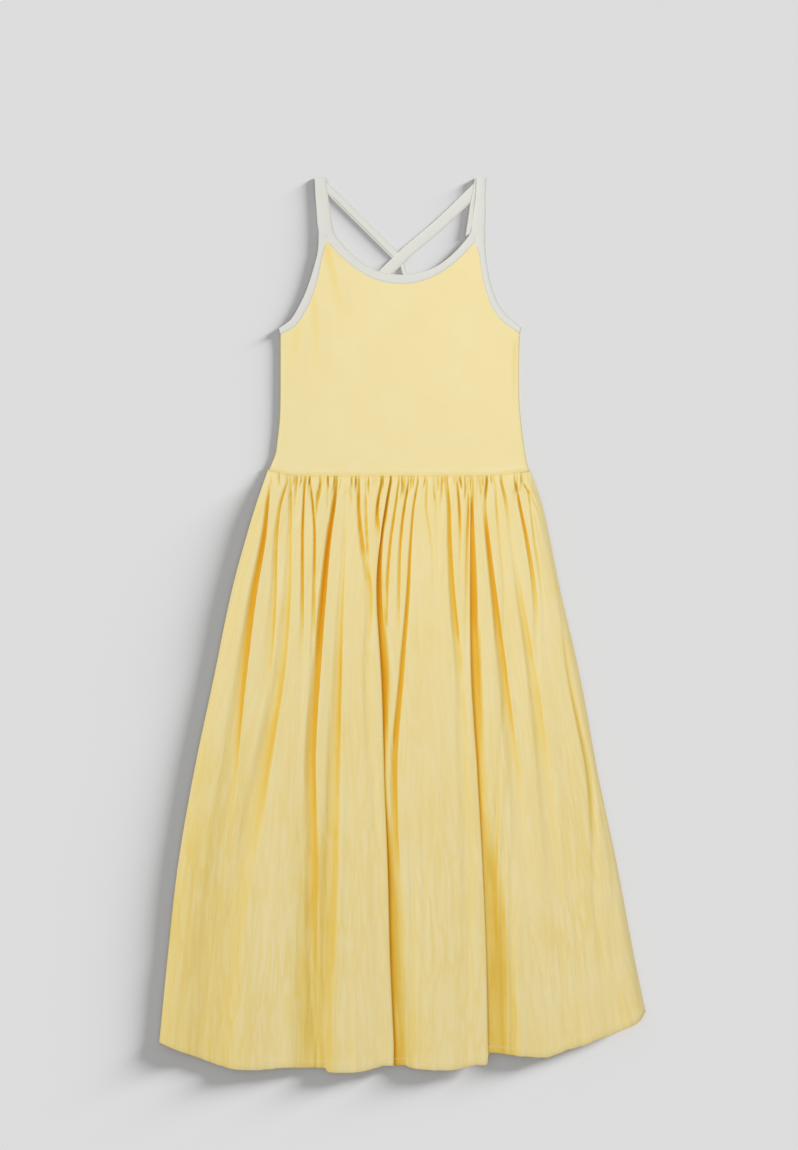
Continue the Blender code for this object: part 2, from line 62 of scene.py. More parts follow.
# Curves, soft steps and noise that the pieces share
def curve(keys, values, at):
    # smooth curve through a table's column, without overshoot
    keys, values = np.asarray(keys, float), np.asarray(values, float)
    if keys[0] > keys[-1]:
        keys, values = keys[::-1], values[::-1]
    steps = np.diff(values) / np.diff(keys)
    slopes = np.concatenate([steps[:1], (steps[:-1] + steps[1:]) / 2, steps[-1:]])
    slopes[1:-1][steps[:-1] * steps[1:] <= 0] = 0
    limit = 3 * np.minimum(np.abs(np.r_[steps[:1], steps]), np.abs(np.r_[steps, steps[-1:]]))
    slopes = np.clip(slopes, -limit, limit)
    at = np.clip(np.asarray(at, float), keys[0], keys[-1])
    i = np.clip(np.searchsorted(keys, at) - 1, 0, len(keys) - 2)
    span = keys[i + 1] - keys[i]
    t = (at - keys[i]) / span
    return ((2 * t**3 - 3 * t**2 + 1) * values[i] + (t**3 - 2 * t**2 + t) * span * slopes[i]
            + (3 * t**2 - 2 * t**3) * values[i + 1] + (t**3 - t**2) * span * slopes[i + 1])


def bump(q):
    return np.where(np.abs(q) < 1, 0.5 + 0.5 * np.cos(np.pi * np.clip(q, -1, 1)), 0)


def ramp(q):
    q = np.clip(q, 0, 1)
    return q * q * (3 - 2 * q)


def fadeOut(q, start, over):
    return 1 - ramp((q - start) / over)


def mix(a, b, share):
    return a + (b - a) * share


def photoX(px):
    return (np.asarray(px, float) - photo["centreX"]) * photo["mmPerPixel"]


def photoRow(level):
    return photo["centreY"] - level / photo["mmPerPixel"]


def clothNoise(across, along, cellAcross, cellAlong, seed):
    # smooth value noise from -1 to 1, longer one way than the other
    table = np.random.RandomState(seed).rand(128, 128)
    a, b = across / cellAcross + 64.37, along / cellAlong + 64.71
    i, j = np.floor(a).astype(int), np.floor(b).astype(int)
    fa, fb = a - i, b - j
    fa, fb = fa * fa * (3 - 2 * fa), fb * fb * (3 - 2 * fb)
    i0, i1, j0, j1 = i % 128, (i + 1) % 128, j % 128, (j + 1) % 128
    low = mix(table[i0, j0], table[i1, j0], fa)
    high = mix(table[i0, j1], table[i1, j1], fa)
    return mix(low, high, fb) * 2 - 1


# Meshes
def addObject(name, data):
    obj = bpy.data.objects.new(name, data)
    bpy.context.scene.collection.objects.link(obj)
    return obj


def addMesh(name, mesh, cloth):
    mesh.materials.append(cloth)
    mesh.shade_smooth()
    mesh.update()
    return addObject(name, mesh)


def gridPiece(name, points, u, v, cloth, masks, band=False):
    # rows run down or along, columns run across, and a band closes round
    rows, cols = points.shape[:2]
    index = np.arange(rows * cols).reshape(rows, cols)
    if band:
        index = np.concatenate([index, index[:, :1]], axis=1)
    quads = np.stack([index[:-1, :-1], index[1:, :-1], index[1:, 1:], index[:-1, 1:]], axis=-1)
    faces = quads.reshape(-1, 4).tolist()
    if band:
        faces += [index[0, :cols].tolist(), index[-1, :cols][::-1].tolist()]
    mesh = bpy.data.meshes.new(name)
    mesh.from_pydata((points.reshape(-1, 3) * mm).tolist(), [], faces)
    layer = mesh.uv_layers.new(name="cloth")
    corners = np.empty(len(mesh.loops), dtype=np.int32)
    mesh.loops.foreach_get("vertex_index", corners)
    layer.data.foreach_set("uv", (np.stack([u, v], -1).reshape(-1, 2)[corners] * mm).ravel())
    for key, values in masks.items():
        values = values.astype(np.float32).ravel()
        mesh.attributes.new(key, "FLOAT", "POINT").data.foreach_set("value", values)
    return addMesh(name, mesh, cloth)


def thicken(obj, wall):
    solid = obj.modifiers.new("wall", "SOLIDIFY")
    solid.thickness, solid.offset = wall * mm, -1
    return obj


def runAlong(route):
    return np.concatenate([[0], np.cumsum(np.linalg.norm(np.diff(route, axis=0), axis=1))])


def areaOf(obj):
    return sum(face.area for face in obj.data.polygons)


def standFor(piece, node):
    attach(piece, "root")
    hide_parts(node)


# Stitches, laid on the cloth one by one and joined into a mesh for each row
stitch = {"length": 1.9, "space": 2.6, "ahead": 0.5, "shoulder": 0.28, "width": 0.45, "height": 0.36,
          "lift": 0.1, "tipDip": -0.1, "rayFrom": 60}


def stitchRow(name, cloth, route, thread):
    corners = [v.co / mm for v in cloth.data.vertices]
    tree = BVHTree.FromPolygons(corners, [f.vertices for f in cloth.data.polygons])
    route = np.asarray(route, float)
    run = runAlong(route)
    places = np.arange(stitch["space"], run[-1], stitch["space"])
    middle, ahead = (np.stack([np.interp(at, run, route[:, k]) for k in (0, 1)], -1)
                     for at in (places, places + stitch["ahead"]))
    ring = ((-1, 0), (0, 1), (1, 0), (0, -1))
    form = [(-0.5, 0, stitch["tipDip"])]
    form += [(end, a, b) for end in (-stitch["shoulder"], stitch["shoulder"]) for a, b in ring]
    form += [(0.5, 0, stitch["tipDip"])]
    sides = [(1 + k, 1 + (k + 1) % 4, 5 + (k + 1) % 4, 5 + k) for k in range(4)]
    sides += [(0, 1 + (k + 1) % 4, 1 + k) for k in range(4)] + [(9, 5 + k, 5 + (k + 1) % 4) for k in range(4)]
    verts, faces = [], []
    for (x, y), (dx, dy) in zip(middle, ahead - middle):
        hit, normal, _, _ = tree.ray_cast(Vector((x, y, stitch["rayFrom"])), Vector((0, 0, -1)))
        if hit is None:
            continue
        normal = normal if normal.z > 0 else -normal
        along = Vector((dx, dy, 0)).normalized()
        along = (along - normal * along.dot(normal)).normalized()
        across = normal.cross(along)
        first = len(verts)
        for end, a, b in form:
            up = normal * (b * stitch["height"] + stitch["lift"])
            verts.append((hit + along * (end * stitch["length"]) + across * (a * stitch["width"]) + up) * mm)
        faces += [tuple(first + k for k in face) for face in sides]
    mesh = bpy.data.meshes.new(name)
    mesh.from_pydata(verts, [], faces)
    obj = addMesh(name, mesh, thread)
    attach(obj, "root")
    return obj


# Node helpers
def setAll(inputs, values):
    for key, value in values.items():
        inputs[key].default_value = value


def feed(tree, socket, value):
    # a socket takes a number or a colour, or a link from another node
    if isinstance(value, (int, float, tuple)):
        socket.default_value = value
    else:
        tree.links.new(value, socket)


def mathNode(tree, operation, *values):
    node = tree.nodes.new("ShaderNodeMath")
    node.operation = operation
    for socket, value in zip(node.inputs, values):
        feed(tree, socket, value)
    return node.outputs[0]


def times(tree, first, second):
    return mathNode(tree, "MULTIPLY", first, second)


def plus(tree, first, second):
    return mathNode(tree, "ADD", first, second)


def mixColour(tree, share, first, second, blend="MIX"):
    node = tree.nodes.new("ShaderNodeMix")
    node.data_type, node.blend_type = "RGBA", blend
    for key, value in (("Factor", share), ("A", first), ("B", second)):
        feed(tree, node.inputs[key], value)
    return node.outputs["Result"]


def stretched(tree, vector, across, along):
    scale = tree.nodes.new("ShaderNodeCombineXYZ")
    for socket, value in zip(scale.inputs, (across, along, 1)):
        feed(tree, socket, value)
    node = tree.nodes.new("ShaderNodeVectorMath")
    node.operation = "MULTIPLY"
    feed(tree, node.inputs[0], vector)
    feed(tree, node.inputs[1], scale.outputs[0])
    return node.outputs[0]


noises = {
    "coarseCrinkle": {"Scale": 0.6, "Detail": 2, "Roughness": 0.5, "Distortion": 0.5},
    "fineCrinkle": {"Scale": 1.6, "Detail": 1, "Roughness": 0.5, "Distortion": 0.4},
    "cottonPatch": {"Scale": 14, "Detail": 2, "Roughness": 0.5},
    "jerseyPatch": {"Scale": 22, "Detail": 3, "Roughness": 0.55},
    "ribPatch": {"Scale": 60, "Detail": 2, "Roughness": 0.5},
    "threadTwist": {"Scale": 900, "Detail": 1, "Roughness": 0.5},
}


def noiseNode(tree, vector, name):
    node = tree.nodes.new("ShaderNodeTexNoise")
    setAll(node.inputs, noises[name])
    feed(tree, node.inputs["Vector"], vector)
    return node.outputs["Fac"]


# Node groups: crinkle, weave and knit relief, from a cloth vector and a few numbers
def newGroup(name, numbers, outputs):
    group = bpy.data.node_groups.new(name, "ShaderNodeTree")
    group.interface.new_socket("Cloth", in_out="INPUT", socket_type="NodeSocketVector")
    for label in numbers:
        group.interface.new_socket(label, in_out="INPUT", socket_type="NodeSocketFloat")
    for label in outputs:
        group.interface.new_socket(label, in_out="OUTPUT", socket_type="NodeSocketFloat")
    source, result = group.nodes.new("NodeGroupInput"), group.nodes.new("NodeGroupOutput")
    return group, source.outputs, result.inputs


def splitCloth(group, source):
    split = group.nodes.new("ShaderNodeSeparateXYZ")
    group.links.new(source["Cloth"], split.inputs[0])
    return split.outputs["X"], split.outputs["Y"]


def crinkleGroup():
    # long narrow creases pressed into the cloth, coarse and fine; the valley output is a mask of painted
    # shade at the crease bottoms
    creaseSharp, creaseHeight, fineHeight = 9, 0.22, 0.78
    group, source, result = newGroup("crinkle", ("Across", "Along", "Amount"), ("Height", "ValleyShade"))
    cloth = stretched(group, source["Cloth"], source["Across"], source["Along"])
    coarse, fine = noiseNode(group, cloth, "coarseCrinkle"), noiseNode(group, cloth, "fineCrinkle")
    crease = mathNode(group, "ABSOLUTE", mathNode(group, "SUBTRACT", coarse, 0.5))
    crease = mathNode(group, "MINIMUM", times(group, crease, creaseSharp), 1)
    height = plus(group, times(group, crease, creaseHeight), times(group, fine, fineHeight))
    valleyShade = mathNode(group, "SUBTRACT", 1, crease)
    group.links.new(times(group, height, source["Amount"]), result["Height"])
    group.links.new(times(group, valleyShade, source["Amount"]), result["ValleyShade"])
    return group


def weaveGroup():
    # over-and-under threads of a plain weave
    group, source, result = newGroup("weave", ("Threads",), ("Height",))
    turns = times(group, source["Threads"], 2 * math.pi)
    warp, weft = (mathNode(group, "SINE", times(group, way, turns)) for way in splitCloth(group, source))
    group.links.new(times(group, warp, weft), result["Height"])
    return group


def knitGroup():
    # columns of knitted loops, each loop a small slanted hump
    loopSlant, loopHeight = 1.6, 0.35
    group, source, result = newGroup("knit", ("Wales", "Courses"), ("Height",))
    across, along = splitCloth(group, source)
    across = times(group, across, times(group, source["Wales"], math.pi))
    wale = mathNode(group, "ABSOLUTE", mathNode(group, "SINE", across))
    along = times(group, along, times(group, source["Courses"], 2 * math.pi))
    loop = mathNode(group, "SINE", plus(group, along, times(group, wale, loopSlant)))
    group.links.new(plus(group, wale, times(group, loop, loopHeight)), result["Height"])
    return group


groups = {"crinkle": crinkleGroup(), "weave": weaveGroup(), "knit": knitGroup()}


def placeGroup(tree, name, cloth, values):
    node = tree.nodes.new("ShaderNodeGroup")
    node.node_tree = groups[name]
    tree.links.new(cloth, node.inputs["Cloth"])
    setAll(node.inputs, values)
    return node


# Materials: cotton, jersey, rib and thread
def newMaterial(name, settings):
    made = bpy.data.materials.new(name)
    made.use_nodes = True
    shader = made.node_tree.nodes["Principled BSDF"]
    setAll(shader.inputs, settings)
    return made, made.node_tree, shader


def clothMaterial(name, look):
    made, tree, shader = newMaterial(name, {
        "Roughness": look["roughness"], "Specular IOR Level": look["specular"],
        "Sheen Weight": look["sheen"], "Sheen Roughness": 0.6,
    })
    cloth = tree.nodes.new("ShaderNodeUVMap")
    cloth.uv_map = "cloth"
    return made, tree, shader, cloth.outputs["UV"]


def maskNode(tree, name):
    node = tree.nodes.new("ShaderNodeAttribute")
    node.attribute_name = name
    return node.outputs["Fac"]


def bumpNode(tree, height, strength, distance, before=None):
    node = tree.nodes.new("ShaderNodeBump")
    for key, value in (("Strength", strength), ("Distance", distance), ("Height", height)):
        feed(tree, node.inputs[key], value)
    if before is not None:
        feed(tree, node.inputs["Normal"], before)
    return node.outputs["Normal"]


def paintedBounceShade(tree, lit, bounce, depth):
    # painted shade: light that bounces inside a fold takes on the dye's colour again each time, so the bounce
    # colour is raised to a power set by the masks and multiplied in
    node = tree.nodes.new("ShaderNodeGamma")
    feed(tree, node.inputs["Color"], bounce)
    feed(tree, node.inputs["Gamma"], depth)
    return mixColour(tree, 1, lit, node.outputs["Color"], "MULTIPLY")


# In the cloth looks the bounce colour, the darker pinch colour and the fold and crinkle bounce counts paint
# shade into folds, crinkle valleys and tight gathers; the patch counts vary the tone at random
cottonLook = {
    "lit": (0.955, 0.826, 0.470, 1), "bounce": (0.966, 0.844, 0.470, 1), "pinchShade": (0.66, 0.65, 0.43, 1),
    "foldBounces": 5.8, "crinkleBounces": 0.42, "patchBounces": 0.45,
    "crinkle": {"Across": 165, "Along": 20}, "crinkleBump": 0.55, "crinkleDepth": 0.0012,
    "weave": {"Threads": 2100}, "weaveBump": 0.4, "weaveDepth": 0.00006,
    "roughness": 0.85, "specular": 0.06, "sheen": 0.02,
}
jerseyLook = {
    "lit": (0.940, 0.815, 0.455, 1), "bounce": (0.966, 0.844, 0.470, 1),
    "foldBounces": 2.2, "patchBounces": 0.3,
    "knit": {"Wales": 900, "Courses": 1100}, "knitBump": 0.5, "knitDepth": 0.00008,
    "roughness": 0.78, "specular": 0.25, "sheen": 0.08,
}
# The rib's shade colour is painted shade along the strap's groove and the folded edge's rims; its patch share
# varies the tone at random
ribLook = {
    "lit": (0.800, 0.800, 0.740, 1), "shade": (0.420, 0.395, 0.340, 1), "patchShade": 0.08,
    "knit": {"Wales": 620, "Courses": 1000}, "knitBump": 0.5, "knitDepth": 0.00022,
    "roughness": 0.8, "specular": 0.25, "sheen": 0.15,
}
threadLook = {
    "yellow": (0.990, 0.900, 0.620, 1), "ivory": (0.800, 0.800, 0.740, 1),
    "twistShade": 0.92, "roughness": 0.6,
}


def cottonMaterial(look):
    made, tree, shader, cloth = clothMaterial("yellowCrinkleCotton", look)
    crinkle = placeGroup(tree, "crinkle", cloth, look["crinkle"])
    tree.links.new(maskNode(tree, "crinkled"), crinkle.inputs["Amount"])
    weave = placeGroup(tree, "weave", cloth, look["weave"])
    patch = noiseNode(tree, cloth, "cottonPatch")
    # painted shade: the fold and crinkle-valley masks deepen the colour, and tight gathers near the seam mix
    # toward the darker pinch colour
    bounces = times(tree, maskNode(tree, "fold"), look["foldBounces"])
    bounces = plus(tree, bounces, times(tree, crinkle.outputs["ValleyShade"], look["crinkleBounces"]))
    bounces = plus(tree, bounces, times(tree, patch, look["patchBounces"]))
    lit = mixColour(tree, maskNode(tree, "pinchShade"), look["lit"], look["pinchShade"])
    tree.links.new(paintedBounceShade(tree, lit, look["bounce"], bounces), shader.inputs["Base Color"])
    normal = bumpNode(tree, crinkle.outputs["Height"], look["crinkleBump"], look["crinkleDepth"])
    normal = bumpNode(tree, weave.outputs["Height"], look["weaveBump"], look["weaveDepth"], normal)
    tree.links.new(normal, shader.inputs["Normal"])
    return made


def knitRelief(tree, shader, cloth, look):
    knit = placeGroup(tree, "knit", cloth, look["knit"])
    normal = bumpNode(tree, knit.outputs["Height"], look["knitBump"], look["knitDepth"])
    tree.links.new(normal, shader.inputs["Normal"])


def jerseyMaterial(look):
    made, tree, shader, cloth = clothMaterial("yellowJersey", look)
    knitRelief(tree, shader, cloth, look)
    # painted shade in the bodice's creases and along its stitch line
    bounces = times(tree, maskNode(tree, "fold"), look["foldBounces"])
    bounces = plus(tree, bounces, times(tree, noiseNode(tree, cloth, "jerseyPatch"), look["patchBounces"]))
    tree.links.new(paintedBounceShade(tree, look["lit"], look["bounce"], bounces), shader.inputs["Base Color"])
    return made


def ribMaterial(look):
    made, tree, shader, cloth = clothMaterial("ivoryRib", look)
    knitRelief(tree, shader, cloth, look)
    patch = times(tree, noiseNode(tree, cloth, "ribPatch"), look["patchShade"])
    lit = mixColour(tree, patch, look["lit"], look["shade"])
    # painted shade along the strap's groove and the folded edge's rims
    tree.links.new(mixColour(tree, maskNode(tree, "fold"), lit, look["shade"]), shader.inputs["Base Color"])
    return made


def threadMaterial(name, colour):
    made, tree, shader = newMaterial(name, {"Roughness": threadLook["roughness"]})
    place = tree.nodes.new("ShaderNodeNewGeometry")
    twist = noiseNode(tree, place.outputs["Position"], "threadTwist")
    dark = tuple(threadLook["twistShade"] * value for value in colour[:3]) + (1,)
    tree.links.new(mixColour(tree, twist, colour, dark), shader.inputs["Base Color"])
    return made


cotton, jersey, rib = cottonMaterial(cottonLook), jerseyMaterial(jerseyLook), ribMaterial(ribLook)
yellowThread = threadMaterial("yellowThread", threadLook["yellow"])
ivoryThread = threadMaterial("ivoryThread", threadLook["ivory"])
print("stage: materials")

# Waist seam, straight in the middle and a little higher at each side
waist = {
    "level": 174.8, "tuck": 1, "stitch": 2.9,
    "x": (-160, -140, -122, 0, 95, 122, 152),
    "rise": (7.5, 2.6, 0, 0, 0, 2.4, 5.6),
}


def waistLevel(x):
    return waist["level"] + curve(waist["x"], waist["rise"], x)


# Front of the skirt
skirt = {
    "length": 692, "rows": 146, "columns": (232, 106, 172), "lipColumns": 26, "lipClear": 13,
    "base": 3.1, "seamSink": 1.5, "sideRound": 8, "lipSpan": 26, "lipMargin": 6,
    "crinkle": 0.36, "crinkleFrom": 25,
}
skirtLines = {
    "level": (182, 145, 105, 45, -65, -175, -285, -395, -490),
    "leftSide": (-157, -169.8, -182, -198.3, -221.2, -244.3, -263, -275.2, -284.5),
    "leftLip": (-13, -20.8, -27.2, -32.3, -26.5, -23, -18.2, -14.8, -10.2),
    "rightLip": (79.5, 79.5, 79.3, 79.3, 80.6, 87.2, 93.6, 98, 100),
    "rightSide": (148.5, 161.7, 171, 183.2, 208.2, 228.3, 251.3, 272, 292),
}
hemLines = {
    "left": {
        "share": (0, 0.16, 0.32, 0.43, 0.58, 0.742, 0.752, 0.84, 0.93, 1),
        "level": (-489, -504.5, -518.5, -520, -517.5, -518.5, -522.3, -523.3, -520.5, -515),
    },
    "middle": {"share": (0, 0.1, 0.3, 0.6, 1), "level": (-515, -518, -520, -520.5, -514)},
    "right": {
        "share": (0, 0.15, 0.3, 0.38, 0.45, 0.55, 0.65, 0.75, 0.86, 0.97, 1),
        "level": (-500.5, -504, -505.5, -501.5, -496.5, -491.5, -484.5, -478.5, -471, -460, -453),
    },
    "back": {
        "share": (0, 0.08, 0.2, 0.4, 0.5, 0.62, 0.68, 0.8, 0.9, 1),
        "level": (-485, -498, -512, -513, -508, -508, -497, -491, -474, -450),
    },
}
skirtRise = {
    "drop": (0, 4, 12, 40, 90, 180, 350, 550, 690),
    "relief": (1.6, 3.1, 4, 4.8, 5.6, 6.4, 6.4, 6, 5.4),
    "back": (0, 0.4, 1.4, 1.7, 1.3, 1.1, 1, 0.9, 0.6),
    "leftLean": (0.3, 0.6, 1.2, 2, 2.6, 3, 2.8, 1.4, 1),
    "rightLean": (0.1, 0.1, 0.2, 0.3, 0.4, 0.7, 1.4, 0.9, 0.9),
}
# Troughs between the folds, from the first row down: place across (reference pixels), depth share,
# half widths at the seam and low down, and skew. A column that ends early keeps its last value.
foldRows = (482, 505, 540, 595, 670, 780, 900, 1020)
folds = {
    "sideLeft": ((270, 268.5, 265, 255.5, 245.5, 231.5, 215, 200),
                 (0.6, 0.9, 0.85, 0.8, 0.75, 0.6, 0.25, 0.12), (4.5, 15), 0.6),
    "leftA": ((288, 281, 277, 275, 270, 262, 256, 250), (0.48, 0.45, 0.4, 0.3, 0.16, 0, 0), (4, 13), 0.4),
    "leftB": ((291, 291, 290, 288, 281, 260, 238, 225), (0.36, 0.35, 0.3, 0.35, 0.5, 0.85, 0.35, 0.15),
              (4, 18), 0.2),
    "leftC": ((297, 295, 294, 293, 293), (0.32, 0.16, 0, 0), (3.5, 8), 0),
    "leftD": ((305, 304, 303, 303, 302, 300, 300), (0.38, 0.5, 0.45, 0.3, 0.09, 0, 0), (3, 6), 0.2),
    "leftE": ((310, 313, 315, 314, 312, 308, 308), (0.45, 0.48, 0.4, 0.25, 0.11, 0.04, 0, 0), (3, 6), 0),
    "leftF": ((321, 317, 315, 314, 314), (0.38, 0.3, 0, 0), (4, 8), 0),
    "leftG": ((328, 328), (0.25, 0.15, 0, 0), (3, 6), 0),
    "left": ((337, 335, 330, 325, 319, 312, 312.5, 314), (0.8, 0.9, 0.95, 0.88, 0.78, 0.68, 0.6, 0.5),
             (5.5, 10), 0.55),
    "leftLow": ((347, 346, 345, 342, 339, 334, 329, 324), (0.1, 0.1, 0.15, 0.25, 0.45, 0.6, 0.7, 0.5),
                (4, 13), 0.3),
    "innerA": ((359, 359, 362, 369, 367, 373, 376, 380), (0.52, 0.56, 0.49, 0.26, 0.26, 0.15, 0.08, 0.04),
               (4.5, 9), 0.2),
    "innerB": ((366, 366, 367, 369, 370, 370), (0.24, 0.28, 0.28, 0.12, 0.08, 0, 0), (3.5, 7), 0),
    "innerC": ((382, 378, 377, 376, 374, 374), (0.56, 0.64, 0.24, 0, 0), (4, 6), 0.2),
    "lipTop": ((391, 387, 382, 380, 380), (0.7, 0.75, 0.6, 0.25, 0, 0), (3.5, 6), 0),
    "strandA": ((399, 396, 391, 387, 386, 388, 388), (0.38, 0.4, 0.35, 0.28, 0.12, 0, 0), (3.2, 5), 0.2),
    "strandB": ((409, 405, 401, 399, 398, 398), (0.5, 0.5, 0.36, 0.22, 0, 0), (3.4, 5), 0.25),
    "strandC": ((418, 414, 411, 408, 402, 394, 397, 402), (0.4, 0.38, 0.38, 0.4, 0.45, 0.55, 0.2, 0.08),
                (3, 6), 0.1),
    "middleA": ((427, 426, 431, 434, 434), (0.28, 0.24, 0.16, 0.04, 0, 0), (3.5, 7), 0),
    "middleB": ((434, 436, 437, 438, 440, 440), (0.24, 0.16, 0.08, 0.04, 0, 0), (3.5, 8), 0),
    "middleC": ((442, 441, 441), (0.45, 0.11, 0, 0), (3.5, 7), 0),
    "middleD": ((447, 449, 450, 453, 460, 464, 468, 466), (0.38, 0.5, 0.5, 0.45, 0.4, 0.3, 0.22, 0.11),
                (4.5, 11), 0.3),
    "middleE": ((457, 459, 460, 460, 462, 462), (0.41, 0.45, 0.19, 0.04, 0, 0), (3.5, 6), 0),
    "middleF": ((468, 468, 467, 466, 466), (0.3, 0.38, 0.3, 0.19, 0.08, 0, 0), (3.2, 6), 0),
    "rightLipTop": ((472.5, 472.5, 473.5, 475, 476, 476), (0.4, 0.5, 0.6, 0.45, 0.1, 0, 0), (3, 7), 0),
    "rightA": ((487, 485, 488, 494.5, 503.5, 515, 526, 530), (0.85, 0.3, 0.65, 0.6, 0.5, 0.3, 0.05, 0),
               (4, 12), 0.3),
    "rightB": ((495, 496, 499, 504, 504, 505, 505), (0.2, 0.24, 0.16, 0.1, 0.06, 0, 0), (3.5, 6), 0),
    "rightC": ((501, 506, 511, 519, 531, 544, 556, 562), (0.48, 0.28, 0.12, 0.28, 0.42, 0.4, 0.15, 0.05),
               (4, 13), 0),
    "rightD": ((515, 519.5, 526.5, 534.5, 537, 540, 540), (0.5, 0.55, 0.48, 0.28, 0.08, 0, 0), (4, 8), 0.1),
    "rightE": ((522, 536, 545, 552, 556, 560, 560), (0.56, 0.32, 0.1, 0.05, 0, 0), (4, 9), 0),
    "rightF": ((527, 530, 534, 542, 545, 545), (0.16, 0.24, 0.24, 0.08, 0, 0), (3, 6), 0),
    "sideRight": ((531, 545, 556, 560, 568, 590, 596, 606), (0.1, 0.05, 0.05, 0.1, 0.25, 0.5, 0.15, 0.08),
                  (4, 7), -0.2),
}
# Troughs of the hem: their columns end at the last row
hemFolds = {
    "hemLeft": ((270, 268, 262, 254, 240, 240, 222, 212), (0, 0, 0.1, 0.3, 0.6, 0.7), (20, 34), 0.1),
    "hemInner": ((306, 306, 308, 309), (0, 0, 0.1, 0.35, 0.5), (10, 24), 0.1),
    "hemStreakA": ((232, 232, 231, 228), (0, 0, 0.09, 0.09), (4, 6), 0),
    "hemStreakB": ((352, 352, 350, 346, 350), (0, 0, 0.03, 0.06, 0.07, 0.09), (4, 7), 0),
    "hemA": ((504, 504, 498, 493.5, 494), (0, 0, 0.12, 0.35, 0.3), (3, 5), 0),
    "hemB": ((512, 512, 507, 502, 504), (0, 0, 0.03, 0.2, 0.3), (3, 5), 0),
    "hemC": ((514, 514, 511, 513), (0, 0, 0.12, 0.3), (3, 5.5), 0),
    "hemD": ((409, 409, 413, 412), (0, 0, 0.12, 0.18), (4, 6), 0),
    "hemE": ((424, 424, 425, 423), (0, 0, 0.03, 0.09, 0.12), (4, 6), 0),
    "hemF": ((565, 565, 572, 583), (0, 0, 0.03, 0.11, 0.11), (4, 9), 0.2),
    "hemG": ((610, 610, 612, 618), (0, 0, 0.07, 0.09), (4, 9), 0.2),
}
# The trough beside each overlapping fold at the same rows: depth, reach to the right, soft painted shade and
# where it peaks, and the share of painted fold shade at the edge
lipTroughs = {
    "leftLip": {
        "depth": (0.2, 0.5, 0.65, 0.75, 0.8, 0.36, 0.7, 0.75), "reach": (3, 4, 5, 11, 12, 9, 28, 40),
        "paintedShade": (0, 0, 0, 0, 0, 0.14, 0.3, 0.28), "peak": 0.1, "edge": (1, 1, 1, 1, 0.9, 0.8, 0.9, 1),
    },
    "rightLip": {
        "depth": (0.2, 0.4, 0.5, 0.65, 0.7, 0.55, 0.5, 0.62), "reach": (2, 3, 4, 8, 13.5, 14, 30, 46),
        "paintedShade": (0, 0, 0, 0, 0, 0.04, 0.3, 0.28), "peak": 0.32, "edge": (1, 1, 1, 0.9, 0.8, 0.7, 0.2, 0.35),
    },
}
# Soft painted shade between the low folds, with columns that end at the last row
hemShade = {
    "inner": {"x": (315, 315, 316, 314), "width": 34, "paintedShade": (0, 0, 0.14, 0.2)},
    "left": {"x": (230, 230, 225, 215, 205, 195), "width": 85, "paintedShade": (0, 0, 0.03, 0.07, 0.08)},
}
# Section of an overlapping fold, from its bank on the left to its trough on the right
lip = {
    "base": (-9, -4.5, -1.8, -0.4, 0.6, 1.8, 4.5, 9),
    "lean": (0.25, 0.7, 1, 0.8, -0.7, -1, -0.3, 0),
    "bank": (1, 1, 0.92, 0.62, 0.3, 0.06, 0, 0),
    "apart": 0.3,
}


def lineAt(name, level):
    return curve(skirtLines["level"], skirtLines[name], level)


def riseAt(name, drop):
    return curve(skirtRise["drop"], skirtRise[name], drop)


def sideShare(x, level):
    inside = np.minimum(x - lineAt("leftSide", level), lineAt("rightSide", level) - x)
    return 1 - np.exp(-np.maximum(inside, 0) / skirt["sideRound"])


def atRow(values, row, low=False):
    # a table's column that starts at the first row, or ends at the last one
    return curve(foldRows[-len(values):] if low else foldRows[:len(values)], values, row)


foldForm = {
    "sharpUntil": 160, "topWidth": 0.55, "wideAt": 450, "widening": 1.15, "most": 0.97,
    "skewFrom": 230, "skewOver": 220, "skewLoss": 0.85,
    "flatTo": 0.2, "creasePower": 1.4, "creaseLow": 0.25, "creaseTop": 0.4,
    "lipFlatTop": 0.55, "lipFlatLow": 0.05, "lipFrom": 240, "lipOver": 140,
}


def foldShare(x, level, drop):
    # share of the height that the troughs leave
    row, form = photoRow(level), foldForm
    left = np.ones_like(x)
    sharp = form["creaseLow"] + form["creaseTop"] * fadeOut(drop, 0, form["sharpUntil"])
    lean = 1 - form["skewLoss"] * ramp((drop - form["skewFrom"]) / form["skewOver"])
    wider = np.clip(drop / form["wideAt"], 0, 1) ** form["widening"]
    troughs = [(*fold, False) for fold in folds.values()] + [(*fold, True) for fold in hemFolds.values()]
    for place, depth, (topWidth, lowWidth), skew, low in troughs:
        width = mix(form["topWidth"] * topWidth, lowWidth, wider)
        off = x - photoX(atRow(place, row, low))
        skew = skew * lean
        off = np.abs(off) / width / np.where(off < 0, 1 + skew, 1 - skew)
        flat = fadeOut(off, form["flatTo"], 1 - form["flatTo"])
        crease = np.maximum(1 - off, 0) ** form["creasePower"]
        left = left * (1 - form["most"] * atRow(depth, row, low) * mix(flat, crease, sharp))
    even = mix(form["lipFlatTop"], form["lipFlatLow"], ramp((drop - form["lipFrom"]) / form["lipOver"]))
    for name, trough in lipTroughs.items():
        beyond = x - lineAt(name, level)
        flat = fadeOut(beyond / atRow(trough["reach"], row), even, 1 - even)
        left = left * np.where(beyond > 0, 1 - atRow(trough["depth"], row) * flat, 1)
    return left


